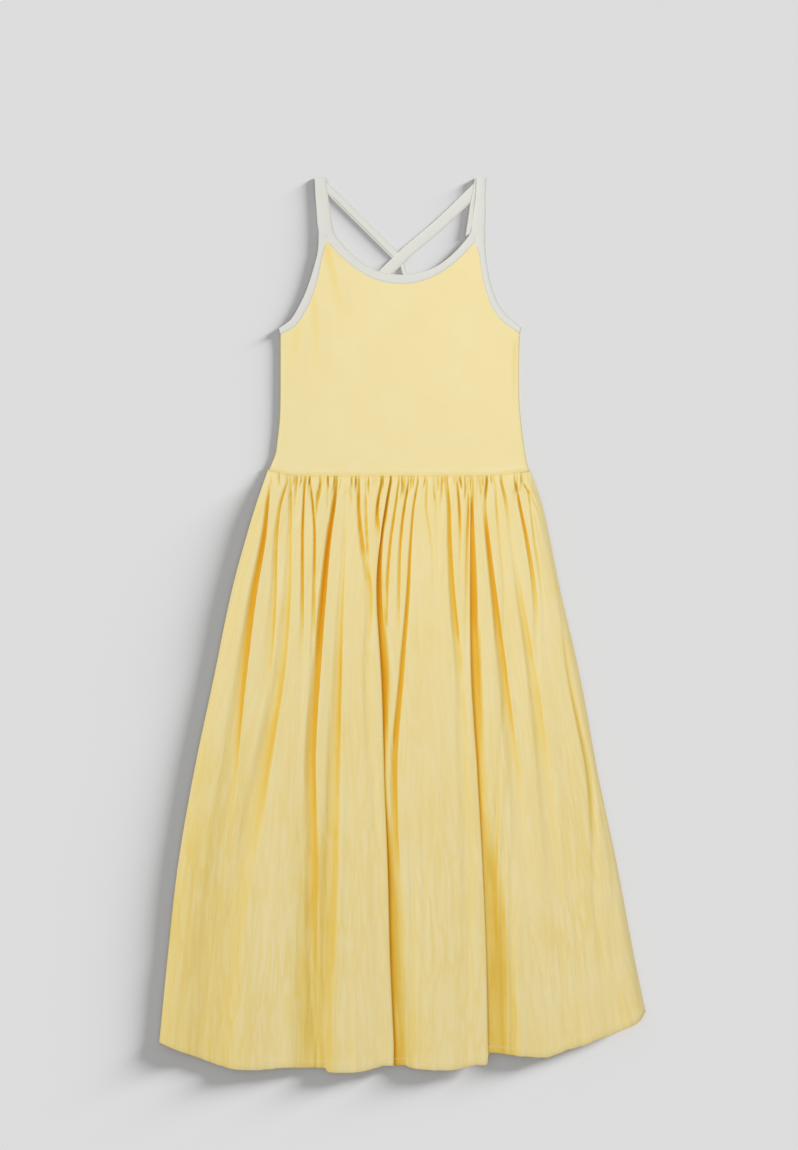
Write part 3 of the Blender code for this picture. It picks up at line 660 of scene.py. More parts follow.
def softShade(x, level):
    # painted shade in the wide shallow troughs near the hem, set by the folds beside them
    leastShare, fadeOver = 0.25, 0.6
    row, paintedShade = photoRow(level), np.zeros_like(x)
    for name, trough in lipTroughs.items():
        beyond = (x - lineAt(name, level)) / atRow(trough["reach"], row)
        share = mix(leastShare, 1, ramp(beyond / trough["peak"]))
        share = share * fadeOut(beyond, trough["peak"], fadeOver)
        paintedShade += np.where(beyond > 0, atRow(trough["paintedShade"], row) * share, 0)
    for patch in hemShade.values():
        off = (x - photoX(atRow(patch["x"], row, True))) / patch["width"]
        paintedShade += atRow(patch["paintedShade"], row, True) * bump(off)
    return paintedShade


def lipEdge(x, level):
    # share of the painted fold shade right beside an overlapping edge
    beside, halfWidth = 1.5, 7
    row, share = photoRow(level), np.ones_like(x)
    for name, trough in lipTroughs.items():
        near = bump((x - lineAt(name, level) - beside) / halfWidth)
        share *= mix(1, atRow(trough["edge"], row), near)
    return share


# For each side of a point: way, share, and the slopes where the painted fold shade starts and is full
closing = {"reach": 26, "least": 0.8, "sides": ((1, 0.55, 0.12, 1.62), (-1, 0.5, 0.06, 1.16))}


def closedIn(points):
    # how far the cloth on the left and right stands above each point, from 0 in the open to 1; this sets the
    # painted shade in the folds
    x, z = points[..., 0], points[..., 2]
    closed = np.zeros_like(x)
    for way, share, start, full in closing["sides"]:
        rise = np.zeros_like(x)
        for step in range(1, closing["reach"]):
            across = np.maximum(np.abs(x - np.roll(x, way * step, 1)), closing["least"])
            rise = np.maximum(rise, (np.roll(z, way * step, 1) - z) / across)
        closed += share * ramp((rise - start) / (full - start))
    return np.minimum(closed, 1)


# Noise of the cloth: height, cell across and along, seed
noiseLayers = {
    "wander": (5, 40, 90, 3), "swell": (2.2, 30, 210, 4), "broad": (0.9, 11, 120, 5),
    "narrow": (1, 5.2, 55, 6), "crease": (6, 14, 150, 7), "patch": (0.5, 45, 130, 8), "pucker": (1, 7, 50, 9),
    "gather": (1, 2.4, 22, 11), "gatherSway": (1.6, 14, 12, 12), "gatherReach": (19, 8, 50, 13),
    "bodicePucker": (0.12, 6, 50, 21), "bodiceSwell": (0.22, 60, 80, 22),
    "crinkled": (0.35, 40, 90, 31), "shade": (0.55, 4, 45, 32),
}


def layer(name, across, along):
    height, cellAcross, cellAlong, seed = noiseLayers[name]
    return height * clothNoise(across, along, cellAcross, cellAlong, seed)


gathers = {"reach": 29, "start": 1.2, "fadeFrom": 2, "power": 0.8, "share": 0.72}


def seamGathers(x, drop):
    # short gathers between the named folds, gone a little below the seam
    reach = gathers["reach"] + layer("gatherReach", x, drop * 0)
    fade = ramp(drop / gathers["start"]) * fadeOut(drop, gathers["fadeFrom"], reach)
    sway = layer("gatherSway", x, drop)
    return fade * np.maximum(layer("gather", x + sway, drop), 0) ** gathers["power"]


def skirtHeight(x, level, drop):
    sideFull, sinkFrom, sinkOver = 1.4, 0.8, 1.8
    side = sideShare(x, level)
    left = foldShare(x, level, drop) * (1 - gathers["share"] * seamGathers(x, drop))
    sink = skirt["seamSink"] * fadeOut(drop, sinkFrom, sinkOver)
    base = skirt["base"] + riseAt("back", drop) * ramp(side * sideFull) - sink
    return base + riseAt("relief", drop) * left * side


def lipClear(level):
    # half the width that an overlapping fold takes up, less near the seam
    topShare, grows = 0.35, 160
    return skirt["lipClear"] * mix(topShare, 1, ramp((waist["level"] - level) / grows))


def columnTop(xAt):
    # where a column meets the seam, closer with the second step
    top = waistLevel(xAt(waist["level"] + 4)) + waist["tuck"]
    return waistLevel(xAt(top)) + waist["tuck"]


def columnLevels(xAt, drops, hemLevel):
    top = columnTop(xAt)
    return top - drops / skirt["length"] * (top - hemLevel)


def skirtRows(count):
    # drops below the seam, closer near the gathers, with two more rows right at the seam
    evenShare, closer, extra = 0.4, 1.6, (1.1, 2.9)
    t = np.linspace(0, 1, count)
    return np.sort(np.append(skirt["length"] * (evenShare * t + (1 - evenShare) * t**closer), extra))


def frontSkirtPoints():
    drops = skirtRows(skirt["rows"])[:, None]
    lines, zones = ("leftSide", "leftLip", "rightLip", "rightSide"), ("left", "middle", "right")
    blocks, uBlocks, u = [], [], 0
    for number, (start, end) in enumerate(zip(lines, lines[1:])):
        hem = hemLines[zones[number]]
        if number:
            t = np.linspace(0, 1, skirt["lipColumns"])[None, :]
            keys = np.linspace(0, 1, len(lip["base"]))
            base, lean, bank = (curve(keys, lip[key], t) for key in ("base", "lean", "bank"))
            before = hemLines[zones[number - 1]]["level"][-1]
            hemLevel = mix(hem["level"][0], before, bank)

            def besideLip(level):
                return base * lipClear(level) / skirt["lipClear"]

            level = columnLevels(lambda level: lineAt(start, level) + besideLip(level), drops, hemLevel)
            line, near = lineAt(start, level), besideLip(level)
            leanBy = riseAt(start.replace("Lip", "Lean"), drops + 0 * level)
            high = skirtHeight(line + np.minimum(near, -lip["apart"]), level, drops + 0 * level)
            low = skirtHeight(line + np.maximum(near, lip["apart"]), level, drops + 0 * level)
            blocks.append(np.stack([line + near + lean * leanBy, level, mix(low, high, bank)], -1))
            uBlocks.append(u + skirt["lipMargin"] + skirt["lipSpan"] * t[0])
            u += skirt["lipSpan"] + 2 * skirt["lipMargin"]
        t = np.linspace(0, 1, skirt["columns"][number])[None, :]
        hemLevel = curve(hem["share"], hem["level"], t)

        def xAt(level):
            a = lineAt(start, level) + (lipClear(level) if number else 0)
            b = lineAt(end, level) - (lipClear(level) if number < 2 else 0)
            return mix(a, b, t)

        level = columnLevels(xAt, drops, hemLevel)
        x = xAt(level)
        blocks.append(np.stack([x, level, skirtHeight(x, level, drops + 0 * x)], -1))
        widest = xAt(np.array(skirtLines["level"][-1]))[0]
        uBlocks.append(u + float(widest[-1] - widest[0]) * t[0])
        u += float(widest[-1] - widest[0])
    return np.concatenate(blocks, 1), np.concatenate(uBlocks), drops


def crinkleRelief(u, v):
    # long creases pressed into the cloth, stronger towards the hem
    creaseSway, topShare, growsFrom, growsOver = 1.6, 0.6, 100, 380
    wander = layer("wander", u, v)
    crease = 1 - np.minimum(np.abs(layer("crease", u + wander * creaseSway, v)), 1)
    patch = 0.5 + layer("patch", u, v)
    fine = layer("broad", u + wander, v) + patch * (layer("narrow", u + wander, v) - crease)
    return layer("swell", u + wander, v) + fine * mix(topShare, 1, ramp((v - growsFrom) / growsOver))


# Painted shade of the skirt's folds, tight gathers, seam line and soft hem troughs, and how crinkled the
# cloth is
skirtShade = {
    "power": 1.2, "sideGain": 2.2, "sideFrom": 0.9, "pinchUntil": 70, "seamShare": 0.66, "seamUntil": 32,
    "seamShade": 0.05, "softFold": 0.85, "softPinch": 0.6, "crinkledTop": 0.45, "crinkledFrom": 120,
    "crinkledOver": 380, "crinkledShare": 0.65,
}
# The turned hem: raised above its stitch line with small puckers, its edge rolled under
hemTurn = {
    "depth": 8.5, "raise": 0.55, "stitch": 7.2, "soft": 2, "puckerRaise": 0.35, "sink": 0.35,
    "sinkWidth": 2.2, "puckerSink": 0.4, "puckerEdge": 0.5,
    "roll": ((0.5, -0.5, 1), (0.2, -1.3, 2), (-2.5, -1.7, 4)),
}
# The sides roll down to the back panel: how far out and down
sideWraps = ((0.5, 0.45), (0.75, 0.8), (0.3, 1.25))


def skirtMasks(points, u, v):
    # painted shade: darker where the cloth beside stands higher, at the seam line and in the soft hem
    # troughs, and darker still at tight gathers near the seam
    look, x, level = skirtShade, points[..., 0], points[..., 1]
    side = ramp(sideShare(x, level) * look["sideGain"] - look["sideFrom"])
    fold = closedIn(points) ** look["power"] * side * lipEdge(x, level)
    pinchShade = fold * fadeOut(v, 0, look["pinchUntil"])
    fold *= mix(look["seamShare"], 1, ramp(v / look["seamUntil"]))
    # a painted dark shade line where the skirt tucks under the seam
    fold += look["seamShade"] * fadeOut(v, 1.6, 1.8)
    shade = softShade(x, level) * (1 + layer("shade", u, v))
    return fold + look["softFold"] * shade, pinchShade + look["softPinch"] * shade


def turnHem(points, u, v):
    fromHem = points[..., 1] - points[-1:, :, 1]
    pucker = layer("pucker", u, v * 0)
    raised = ramp((hemTurn["depth"] + 1 - fromHem) / hemTurn["soft"])
    sunk = bump((fromHem - hemTurn["depth"]) / hemTurn["sinkWidth"])
    points[..., 2] += hemTurn["raise"] * raised * (1 + hemTurn["puckerRaise"] * pucker)
    points[..., 2] -= hemTurn["sink"] * sunk * (1 + hemTurn["puckerSink"] * pucker)
    points[-1:, :, 1] += hemTurn["puckerEdge"] * pucker[-1:]


def frontSkirt():
    points, uRow, drops = frontSkirtPoints()
    u = uRow[None, :] + 0 * drops
    v = drops + 0 * u
    side = ramp(sideShare(points[..., 0], points[..., 1]) * 2)
    points[..., 2] += skirt["crinkle"] * crinkleRelief(u, v) * ramp(v / skirt["crinkleFrom"]) * side
    fold, pinchShade = skirtMasks(points, u, v)
    turnHem(points, u, v)
    under = [points[-1:] + np.array([0, -out, down]) for out, down, _ in hemTurn["roll"]]
    v = np.concatenate([v] + [v[-1:] + more for _, _, more in hemTurn["roll"]], 0)
    points = np.concatenate([points] + under, 0)
    leftWrap = [points[:, :1] - np.array([out, 0, down]) for out, down in sideWraps]
    rightWrap = [points[:, -1:] + np.array([out, 0, -down]) for out, down in sideWraps]
    points = np.concatenate(leftWrap[::-1] + [points] + rightWrap, 1)
    more = ((0, len(under)), (len(sideWraps), len(sideWraps)))
    fold, pinchShade, u = (np.pad(values, more, mode="edge") for values in (fold, pinchShade, u))
    v = np.pad(v, ((0, 0), more[1]), mode="edge")
    look = skirtShade
    crinkled = mix(look["crinkledTop"], 1, ramp((v - look["crinkledFrom"]) / look["crinkledOver"]))
    masks = {"fold": np.clip(fold, 0, 1), "pinchShade": pinchShade,
             "crinkled": crinkled * (look["crinkledShare"] + layer("crinkled", u, v))}
    front = gridPiece("skirtFront", points, u, v, cotton, masks)
    hem = points[-4, 4:-4, :2] + np.array([0, hemTurn["stitch"]])
    ahead = np.concatenate([[True], hem[1:, 0] > np.maximum.accumulate(hem[:-1, 0])])
    return front, hem[ahead]


skirtFront, hemRoute = frontSkirt()
hemStitches = stitchRow("hemStitches", skirtFront, hemRoute, yellowThread)
standFor(skirtFront, "front_skirt")
print("stage: front of the skirt", round(areaOf(skirtFront), 4), len(skirtFront.data.polygons))

# Back of the skirt, flat where it rests
backSkirt = {
    "rows": 90, "columns": 170, "wall": 1.3, "inset": 0.5, "ridges": (0.12, 0.31, 0.52, 0.7, 0.88),
    "width": 0.034, "gathers": 38, "gathersUntil": 120, "height": 0.75, "clothWidth": 585, "crinkled": 0.8,
}


def backSkirtPiece():
    drops = skirtRows(backSkirt["rows"])[:, None]
    t = np.linspace(0, 1, backSkirt["columns"])[None, :]

    def xAt(level):
        inset = backSkirt["inset"]
        return mix(lineAt("leftSide", level) + inset, lineAt("rightSide", level) - inset, t)

    hemLevel = curve(hemLines["back"]["share"], hemLines["back"]["level"], t)
    level = columnLevels(xAt, drops, hemLevel)
    x = xAt(level)
    waves = np.maximum(np.sin(t * 2 * np.pi * backSkirt["gathers"]), 0)
    waves = waves * ramp(1.5 - drops / backSkirt["gathersUntil"])
    for middle in backSkirt["ridges"]:
        waves = np.maximum(waves, bump((t - middle) / backSkirt["width"]) * ramp(drops / 90 - 0.6))
    rise = backSkirt["height"] * riseAt("back", drops + 0 * x)
    points = np.stack([x, level, backSkirt["wall"] + rise * waves * sideShare(x, level)], -1)
    u = backSkirt["clothWidth"] * t + 0 * drops
    masks = {"fold": 0 * x, "crinkled": 0 * x + backSkirt["crinkled"]}
    made = gridPiece("skirtBack", points, u, drops + 0 * u, cotton, masks)
    return thicken(made, backSkirt["wall"])


skirtBack = backSkirtPiece()
standFor(skirtBack, "back_skirt")
print("stage: back of the skirt", round(areaOf(skirtBack), 4))

# Bodice
neck = {
    "outer": {"centre": -0.2, "half": 80.5, "low": 411, "rise": 49, "power": 2.3, "feet": (-80.6, 80.2)},
    "inner": {"centre": -1.7, "half": 87.2, "low": 398.8, "rise": 49.2, "power": 2.1, "feet": (-89, 85.5)},
}
bodiceSide = {
    "level": (181, 190, 200, 217, 240, 262, 300, 340),
    "left": (-156.6, -153, -149, -146.5, -144, -143.2, -143, -143),
    "right": (148.4, 146, 144, 141.5, 139, 137, 136.6, 137.4),
    "foot": {"left": -157, "right": 148}, "top": 339,
}
armholes = {
    "left": {
        "outerX": (-145, -131, -121.5, -114, -108, -103, -99.6, -98.5, -98.5),
        "outerY": (348, 358.5, 374, 389.5, 406.5, 423.5, 437.5, 452, 463),
        "innerX": (-143, -125.5, -112, -104, -98.5, -95, -91.8, -88.9, -88.9),
        "innerY": (340.4, 349.5, 368.5, 387, 405, 424, 438, 447.2, 463),
    },
    "right": {
        "outerX": (140, 124, 114, 107, 103, 100, 98, 97, 97),
        "outerY": (348.6, 362, 374.5, 389.5, 403, 418, 433, 450, 463),
        "innerX": (137.5, 119, 105.5, 98, 93.8, 91, 88.6, 85.4, 85.4),
        "innerY": (341.2, 353, 369, 388, 403, 419, 434.5, 447.2, 463),
    },
}
bodice = {
    "rows": 150, "columns": 170, "sideRows": 60, "level": 2.75, "ridge": 1.05, "ridgeHeight": 7.5,
    "wall": 1.1, "tuck": 1.8, "overSeam": 0.6, "armholeTo": 7.35, "tuckOver": 0.6,
    "stitchShade": 0.12, "stitchSink": 0.12, "ridgeSink": 0.25, "seamSink": 0.6, "sideSink": 0.7,
}
creaseForm = {"endFade": 40, "steep": 0.9, "soft": 2.2, "paintedShadeLoss": 0.65}
# Creases: start, end, height, width, painted shade, and how soon each one sets in
bodiceCreases = {
    "armpitA": ((-88, 452), (-68.5, 372), 1, 7.5, 0.26, 6),
    "armpitB": ((-101.5, 396), (-94.5, 300), 1.1, 7.5, 0.2, 25),
    "armpitC": ((-116, 362), (-128, 290), 1, 8, 0.15, 25),
    "sideRight": ((133.5, 344), (132, 268), -0.6, 4, 0.18, 25),
}


def alongTable(table, side, at):
    # points on one edge of a table, by the number of the row
    keys = range(len(table[side + "X"]))
    return np.stack([curve(keys, table[side + axis], at) for axis in "XY"], -1)


def neckEdge(share, name):
    edge = neck[name]
    level = edge["low"] + edge["rise"] * np.abs(share) ** edge["power"]
    return np.stack([edge["centre"] + edge["half"] * share, level], -1)


def bodiceEdge(side):
    # side edge from the seam up, then round the armhole, a little under its binding
    rows, lower = bodice["rows"], bodice["sideRows"]
    seam = float(waistLevel(bodiceSide["foot"][side]))
    level = np.linspace(seam - bodice["overSeam"], bodiceSide["top"], lower)
    low = np.stack([curve(bodiceSide["level"], bodiceSide[side], level), level], -1)
    at = np.linspace(0, bodice["armholeTo"], rows - lower)
    inner, outer = (alongTable(armholes[side], name, at) for name in ("inner", "outer"))
    reach = np.linalg.norm(outer - inner, axis=1)[:, None]
    under = (outer - inner) / reach * bodice["tuck"] * ramp(at / bodice["tuckOver"])[:, None]
    return np.concatenate([low, inner + under])


def bodiceSheet():
    # the panel's points between its four edges
    t, up = np.linspace(0, 1, bodice["columns"]), np.linspace(0, 1, bodice["rows"])[:, None]
    left, right = bodiceEdge("left"), bodiceEdge("right")
    bottomX = mix(left[0, 0], right[0, 0], t)
    bottom = np.stack([bottomX, waistLevel(bottomX) - bodice["overSeam"]], -1)
    top = neckEdge(t * 2 - 1, "inner") + np.array([0, bodice["tuck"]])
    for end, corner, tip in ((1 - t, left[-1], top[0].copy()), (t, right[-1], top[-1].copy())):
        top += (end**6)[:, None] * (corner - tip)
    t = t[None, :, None]
    across = mix(left[:, None, :], right[:, None, :], t)
    along = mix(bottom[None], top[None], up[..., None])
    corners = mix(mix(left[0], right[0], t), mix(left[-1], right[-1], t), up[..., None])
    flat = across + along - corners
    x, y = flat[..., 0], flat[..., 1]
    return x, y, np.minimum(x - left[:, None, 0], right[:, None, 0] - x)


def creasesAt(x, y):
    # height and painted shade of the creases, each with a steep bank and a long soft one
    high, fold = np.zeros_like(x), np.zeros_like(x)
    for (ax, ay), (bx, by), height, width, paintedShade, setsIn in bodiceCreases.values():
        run = math.hypot(bx - ax, by - ay)
        along = ((x - ax) * (bx - ax) + (y - ay) * (by - ay)) / run
        off = ((x - ax) * (by - ay) - (y - ay) * (bx - ax)) / run
        fade = ramp(along / setsIn) * ramp((run - along) / creaseForm["endFade"] + 0.5)
        bank = np.where(off > 0, creaseForm["steep"], creaseForm["soft"]) * width
        high += height * fade * bump(off / bank)
        paintedShade = paintedShade * (1 - creaseForm["paintedShadeLoss"] * np.clip(along / run, 0, 1))
        fold += paintedShade * fade * bump((off - 0.5 * width) / width)
    return high, fold


def frontBodice():
    x, y, fromSide = bodiceSheet()
    z, fold = creasesAt(x, y)
    fromSeam = y - waistLevel(x)
    fromStitch, fromRidge = fromSeam - waist["stitch"], fromSeam - bodice["ridgeHeight"]
    # painted shade along the stitch line
    fold += bodice["stitchShade"] * bump(fromStitch / 1.9)
    ridge = bodice["ridge"] * fadeOut(fromRidge, -1, 2.2)
    z += bodice["level"] + ridge * (1 + layer("bodicePucker", x, y * 0))
    z += layer("bodiceSwell", x, y) * ramp(fromSeam / 30)
    z -= bodice["ridgeSink"] * bump((fromRidge - 1.2) / 2) + bodice["stitchSink"] * bump(fromStitch / 1.3)
    z -= bodice["seamSink"] * fadeOut(fromSeam, -0.8, 1.5)
    z -= bodice["sideSink"] * fadeOut(fromSide, 0, 3) * ramp((345 - y) / 20)
    x, y, z, fold = x[::-1], y[::-1], z[::-1], fold[::-1]
    made = gridPiece("bodiceFront", np.stack([x, y, z], -1), x, y, jersey, {"fold": np.clip(fold, 0, 1)})
    return thicken(made, bodice["wall"])


bodiceFront = frontBodice()
standFor(bodiceFront, "front_bodice")
seamX = np.linspace(-152, 144.5, 200)
waistRoute = np.stack([seamX, waistLevel(seamX) + waist["stitch"]], -1)
waistStitches = stitchRow("waistStitches", bodiceFront, waistRoute, yellowThread)
print("stage: front bodice", round(areaOf(bodiceFront), 4))

# Back of the bodice and its binding, under the front
backTop = {"centre": -2.5, "half": 140, "sideLevel": 344, "rise": 18, "binding": 12, "ends": (-142, 136.6)}
backPanel = {"rows": 60, "columns": 80, "foot": 180.5, "inset": 1, "level": 1.15, "wall": 1.1, "seamGap": 0.3}


def backTopLevel(x):
    share = np.minimum(np.abs(x - backTop["centre"]) / backTop["half"], 1)
    return backTop["sideLevel"] + backTop["rise"] * (1 - share**3)


def backBodice():
    t, up = np.linspace(0, 1, backPanel["columns"])[None, :], np.linspace(0, 1, backPanel["rows"])[:, None]
    level = mix(backPanel["foot"], backTop["sideLevel"] - backTop["binding"] - backPanel["seamGap"], up)
    leftX, rightX = (curve(bodiceSide["level"], bodiceSide[side], level) for side in ("left", "right"))
    x = mix(leftX + backPanel["inset"], rightX - backPanel["inset"], t)
    y = mix(waistLevel(x) + backPanel["seamGap"], backTopLevel(x) - backTop["binding"] - 0.1, up)
    points = np.stack([x, y, np.full_like(x, backPanel["level"])], -1)
    made = gridPiece("bodiceBack", points[::-1], x[::-1], y[::-1], jersey, {"fold": 0 * x})
    return thicken(made, backPanel["wall"])


bodiceBack = backBodice()
standFor(bodiceBack, "back_bodice")
print("stage: back bodice", round(areaOf(bodiceBack), 4))

# Rib bindings and straps: closed bands with a soft crown and faint lengthwise ribs
bandForm = {"columns": 27, "edgePower": 6, "grooveWidth": 0.13, "rimWidth": 0.2}
bands = {
    "neck": {"wall": 1.6, "crown": 0.5, "base": 1.45, "ribs": 5, "ribHeight": 0.05, "stitch": 0.16},
    "armhole": {"wall": 1.6, "crown": 0.5, "base": 1.45, "ribs": 4, "ribHeight": 0.05, "stitch": 0.18},
    "back": {"wall": 1, "crown": 0.3, "base": 0, "ribs": 5, "ribHeight": 0.05},
    "strap": {"wall": 1.15, "crown": 0.5, "base": -0.6, "ribs": 5, "ribHeight": 0.05},
    "edge": {"wall": 0.9, "crown": 0.5, "base": -0.6, "ribs": 1, "ribHeight": 0},
}


def bandPiece(name, outer, inner, level, spec, join=None, groove=None, rimShade=0):
    # outer and inner are the two edges, level the height that the spec's base is measured from
    s = 0.5 - 0.5 * np.cos(np.linspace(0, math.pi, bandForm["columns"]))
    around = np.concatenate([s, s[1:-1][::-1]])[None, :]
    s = s[None, :]
    middle = 2 * s - 1
    edgeRound = 1 - np.abs(middle) ** bandForm["edgePower"]
    if join is not None:
        edgeRound = edgeRound + join[:, None] * (1 - edgeRound) * (s > 0.5)
    ribs = spec["ribHeight"] * np.cos(2 * np.pi * s * spec["ribs"]) * edgeRound
    wall, mask = np.full(len(outer), spec["wall"]), np.zeros((len(outer), around.shape[1]))
    if groove:
        wall = wall + groove["thicker"]
    top = wall[:, None] * edgeRound + spec["crown"] * (1 - middle**2) + ribs
    if groove:
        top = top - groove["depth"][:, None] * bump((s - groove["at"]) / bandForm["grooveWidth"])
        mask = groove["shade"][:, None] * bump((around - groove["at"]) / bandForm["grooveWidth"])
    # painted shade along both rims of a band where it is asked for, on top of any in its groove
    mask = np.maximum(mask, rimShade * bump(np.minimum(around, 1 - around) / bandForm["rimWidth"]))
    flat = mix(outer[:, None, :], inner[:, None, :], s[..., None])
    base = level[:, None] + spec["base"]
    top = np.concatenate([flat, (base + top)[..., None]], -1)
    low = np.concatenate([flat, (base + 0 * middle)[..., None]], -1)[:, 1:-1][:, ::-1]
    u = around * np.linalg.norm(outer - inner, axis=1)[:, None]
    v = runAlong((outer + inner) / 2)[:, None] + 0 * u
    points = np.concatenate([top, low], 1)
    return gridPiece(name, points, u, v, rib, {"fold": mask}, band=True)


def tableEdges(table, steps=8):
    last = len(table["outerX"]) - 1
    at = np.linspace(0, last, last * steps + 1)
    return alongTable(table, "outer", at), alongTable(table, "inner", at), at


def layBand(piece, node):
    standFor(piece, node)
    print("stage:", piece.name, round(areaOf(piece) / 2, 5))


# Where a binding runs under its strap its inner edge stays full and it sinks a little
strapFoot = {
    "joinOver": 6, "neckJoin": 443, "armholeJoin": 441, "sinkFrom": 458, "sinkOver": 5, "sink": 0.5,
    "neckRows": 150, "level": 463.4,
}


def underStrap(inner, join):
    rise = inner[:, 1]
    sink = -strapFoot["sink"] * ramp((rise - strapFoot["sinkFrom"]) / strapFoot["sinkOver"])
    return ramp((rise - strapFoot[join]) / strapFoot["joinOver"]), sink


def neckLine(name):
    left, right = neck[name]["feet"]
    edge = neckEdge(np.linspace(-1, 1, strapFoot["neckRows"]), name)
    return np.concatenate([[[left, strapFoot["level"]]], edge, [[right, strapFoot["level"]]]])


outer, inner = neckLine("outer"), neckLine("inner")
join, sink = underStrap(inner, "neckJoin")
neckBinding = bandPiece("neckBinding", outer, inner, sink, bands["neck"], join)
neckRoute = mix(inner, outer, bands["neck"]["stitch"])[2:-2]
neckStitches = stitchRow("neckStitches", neckBinding, neckRoute, ivoryThread)
layBand(neckBinding, "neck_binding")

for side in ("left", "right"):
    outer, inner, _ = tableEdges(armholes[side])
    join, sink = underStrap(inner, "armholeJoin")
    binding = bandPiece(side + "ArmholeBinding", outer, inner, sink, bands["armhole"], join)
    route = mix(inner, outer, bands["armhole"]["stitch"])[1:-10]
    stitches = stitchRow(side + "ArmholeStitches", binding, route, ivoryThread)
    layBand(binding, side + "_armhole_binding")

backX = np.linspace(*backTop["ends"], 90)
outer, inner = (np.stack([backX, backTopLevel(backX) - low], -1) for low in (0, backTop["binding"]))
layBand(bandPiece("backBinding", outer, inner, 0 * backX, bands["back"]), "back_binding")

# Straps, from the front over the shoulder and across to the back's top edge
straps = {
    "left": {
        "outerX": (-98.4, -98.5, -99.7, -101, -102.2, -103, -103, -103, -103, -103, -102.5, -97, -80,
                   -50, -20, -9.5, -5, -1.8, 0.8, 20, 44),
        "outerY": (454.5, 462.6, 470, 489, 504, 523.8, 524.6, 525, 524.6, 523.8, 520.8, 514.5, 497,
                   467.5, 437.8, 427.3, 424, 418.5, 410.5, 388, 361.4),
        "innerX": (-77.6, -80.6, -81.9, -84.8, -87, -89.4, -89.4, -89.4, -89.4, -89.4, -89.2, -88.7, -72.5,
                   -42.5, -12.5, -2.5, 0.6, 3, 5.6, 28.5, 53.5),
        "innerY": (456, 462.6, 469, 489, 504, 523.8, 524.6, 525, 524.6, 523.8, 522.6, 520.5, 504.4,
                   474.6, 444.8, 434.4, 428.5, 420.5, 412.5, 393.5, 360.8),
        "level": (1.5, 2.1, 2.1, 2.1, 2.1, 2.1, 1.9, 1.35, 0.8, 0.6, 0.6),
        "fold": {"at": 0.2, "from": 11.5, "to": 15.5, "depth": 0.45, "shade": 0.6},
    },
    "right": {
        "outerX": (97, 97, 97.4, 97.6, 97.6, 97.6, 97.6, 97.6, 97.6, 97.6, 97.2, 92, 80,
                   48, 11.5, 6.4, 1.4, -3.6, -7.3, -13, -36, -62),
        "outerY": (454.5, 462.6, 474, 489, 504, 523.8, 524.6, 525, 524.6, 523.8, 513.5, 507, 495.4,
                   464.8, 433.7, 428.9, 424, 419.1, 415.7, 410.1, 387, 361.4),
        "innerX": (77.2, 80.2, 81.6, 83.6, 85.2, 86.1, 86.1, 86.1, 86.1, 86.1, 86, 82.7, 70.6,
                   38.6, 1.7, -3.4, -8.4, -13.4, -17.1, -22.8, -45.4, -72),
        "innerY": (456, 462.6, 475, 489, 501, 523.8, 524.6, 525, 524.6, 523.8, 521.6, 517.4, 505.6,
                   474.9, 443.7, 438.9, 434, 429.1, 425.7, 420.1, 396.5, 361),
        "level": (1.5, 2.1, 2.1, 2.1, 2.1, 2.1, 1.9, 1.35, 0.8, 0.6, 0.6, 0.6, 0.6,
                  0.6, 0.7, 1.4, 1.9, 1.8, 1.2, 0.6, 0.6, 0.6),
    },
}
# The folded edge of the right strap that shows beside its front
strapEdge = {
    "outerX": (86.2, 86, 84.4, 82.6, 79.4), "outerY": (523, 508, 492, 470, 459),
    "innerX": (84.7, 82.6, 79.4, 76.4, 73.4), "innerY": (524, 511, 496, 476, 455),
    "level": (2.5, 2.4, 2.1, 1.8, 2),
}


strapForm = {
    "foldIn": 0.5, "foldOut": 0.4, "thicker": 0.6, "thinFrom": 1, "thinOver": 3,
    "plain": {"at": 0.5, "from": 0, "to": 0, "depth": 0, "shade": 0},
}


def strapPiece(side):
    # a strap is thicker near its foot, and may have a fold along it at the back, with painted shade in its
    # groove
    table = straps[side]
    outer, inner, at = tableEdges(table, 6)
    level = curve(range(len(table["level"])), table["level"], at)
    fold = table.get("fold", strapForm["plain"])
    along = ramp((at - fold["from"]) / strapForm["foldIn"])
    along = along * fadeOut(at, fold["to"], strapForm["foldOut"])
    thicker = strapForm["thicker"] * fadeOut(at, strapForm["thinFrom"], strapForm["thinOver"])
    groove = {"at": fold["at"], "thicker": thicker}
    groove.update((key, fold[key] * along) for key in ("depth", "shade"))
    return bandPiece(side + "Strap", outer, inner, level, bands["strap"], groove=groove)


strapPieces = {side: strapPiece(side) for side in ("left", "right")}
outer, inner, at = tableEdges(strapEdge)
level = curve(range(len(strapEdge["level"])), strapEdge["level"], at)
# the folded edge gets painted shade, dark lines along both rims
rightStrapEdge = bandPiece("rightStrapEdge", outer, inner, level, bands["edge"], rimShade=0.9)
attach(rightStrapEdge, "root")
layBand(strapPieces["left"], "left_strap")
layBand(strapPieces["right"], "right_strap")

# Floor, lights and camera
studio = {
    "floor": {"Base Color": (0.80, 0.80, 0.80, 1), "Roughness": 0.9, "Specular IOR Level": 0},
    "floorLevel": -0.3, "floorReach": 60000,
    "camera": {"place": (-4.106, 58.66, 3200), "sensor": 36},
    "world": {"Color": (1, 1, 1, 1), "Strength": 0.44},
    "key": {"turn": 165, "elevation": 56, "angle": 40, "strength": 1.10},
    "shadow": {"turn": 27, "elevation": 8.5, "angle": 12, "strength": 9.8},
    "fill": {"place": (250, 600, 900), "size": 500, "power": 2.4},
}

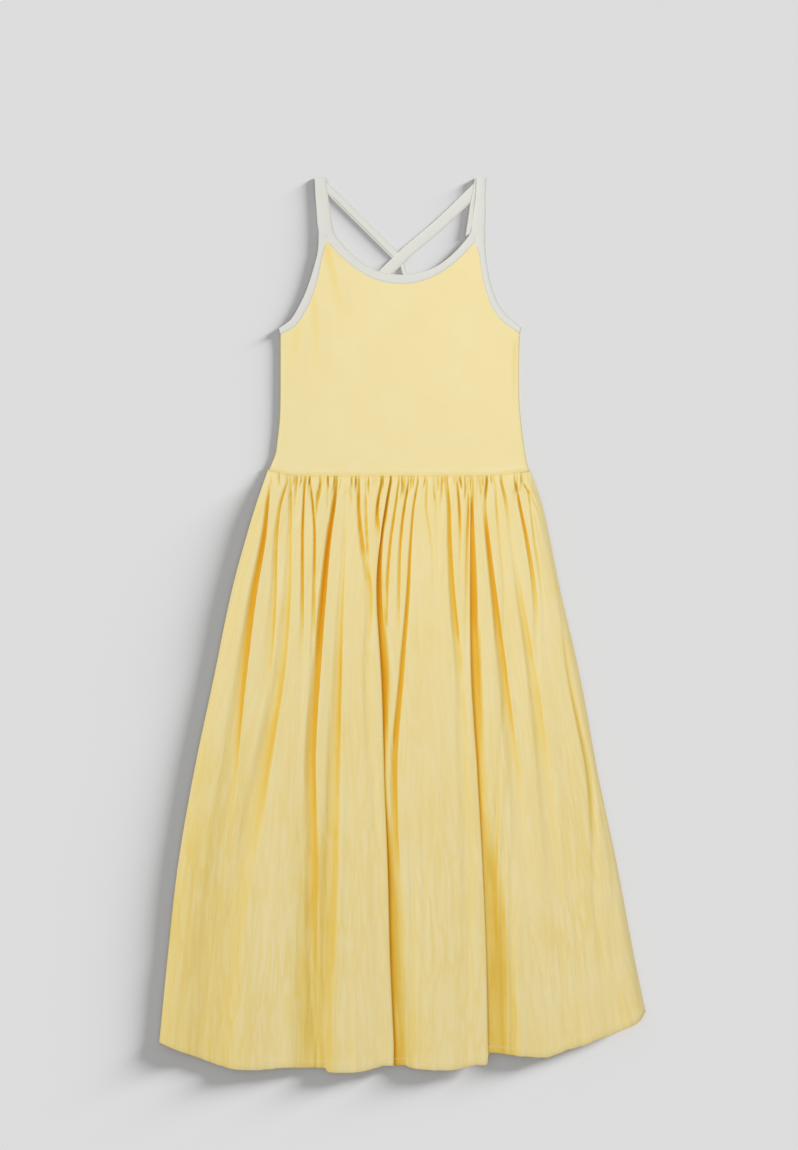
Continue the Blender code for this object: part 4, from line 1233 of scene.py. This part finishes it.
floorMesh = bpy.data.meshes.new("floor")
corners = [(x * studio["floorReach"] * mm, y * studio["floorReach"] * mm, studio["floorLevel"] * mm)
           for x, y in ((-1, -1), (1, -1), (1, 1), (-1, 1))]
floorMesh.from_pydata(corners, [], [(0, 1, 2, 3)])
floor = addObject("floor", floorMesh)
floorMesh.materials.append(newMaterial("paleFloor", studio["floor"])[0])

world = bpy.data.worlds.new("studio")
bpy.context.scene.world = world
world.use_nodes = True
setAll(world.node_tree.nodes["Background"].inputs, studio["world"])

dressOnly = bpy.data.collections.new("dressOnly")
floorOnly = bpy.data.collections.new("floorOnly")
floorOnly.objects.link(floor)
for obj in bpy.data.objects:
    if obj.type == "MESH" and obj is not floor:
        dressOnly.objects.link(obj)


def hangLamp(name, data, place, collection):
    # a lamp that shines on the middle of the dress, and only on one collection
    lamp = addObject(name, data)
    lamp.location = place
    lamp.rotation_mode = "QUATERNION"
    lamp.rotation_quaternion = (-Vector(place)).to_track_quat("-Z", "Y")
    lamp.light_linking.receiver_collection = collection


for name, spec, collection in (("key", "key", dressOnly), ("floorLight", "shadow", floorOnly)):
    sun, spec = bpy.data.lights.new(name, "SUN"), studio[spec]
    sun.energy, sun.angle = spec["strength"], math.radians(spec["angle"])
    turn, elevation = math.radians(spec["turn"]), math.radians(spec["elevation"])
    hangLamp(name, sun, (2 * math.cos(turn), 2 * math.sin(turn), 2 * math.tan(elevation)), collection)

fill = bpy.data.lights.new("fill", "AREA")
fill.shape, fill.size, fill.energy = "SQUARE", studio["fill"]["size"] * mm, studio["fill"]["power"]
hangLamp("fill", fill, [value * mm for value in studio["fill"]["place"]], dressOnly)

cameraData = bpy.data.cameras.new("camera")
camera = addObject("camera", cameraData)
camera.location = [value * mm for value in studio["camera"]["place"]]
cameraData.sensor_width = studio["camera"]["sensor"]
shownHeight = photo["height"] * photo["mmPerPixel"]
cameraData.lens = cameraData.sensor_width * studio["camera"]["place"][2] / shownHeight
bpy.context.scene.camera = camera
bpy.context.scene.view_settings.view_transform = "Standard"
print("stage: studio")
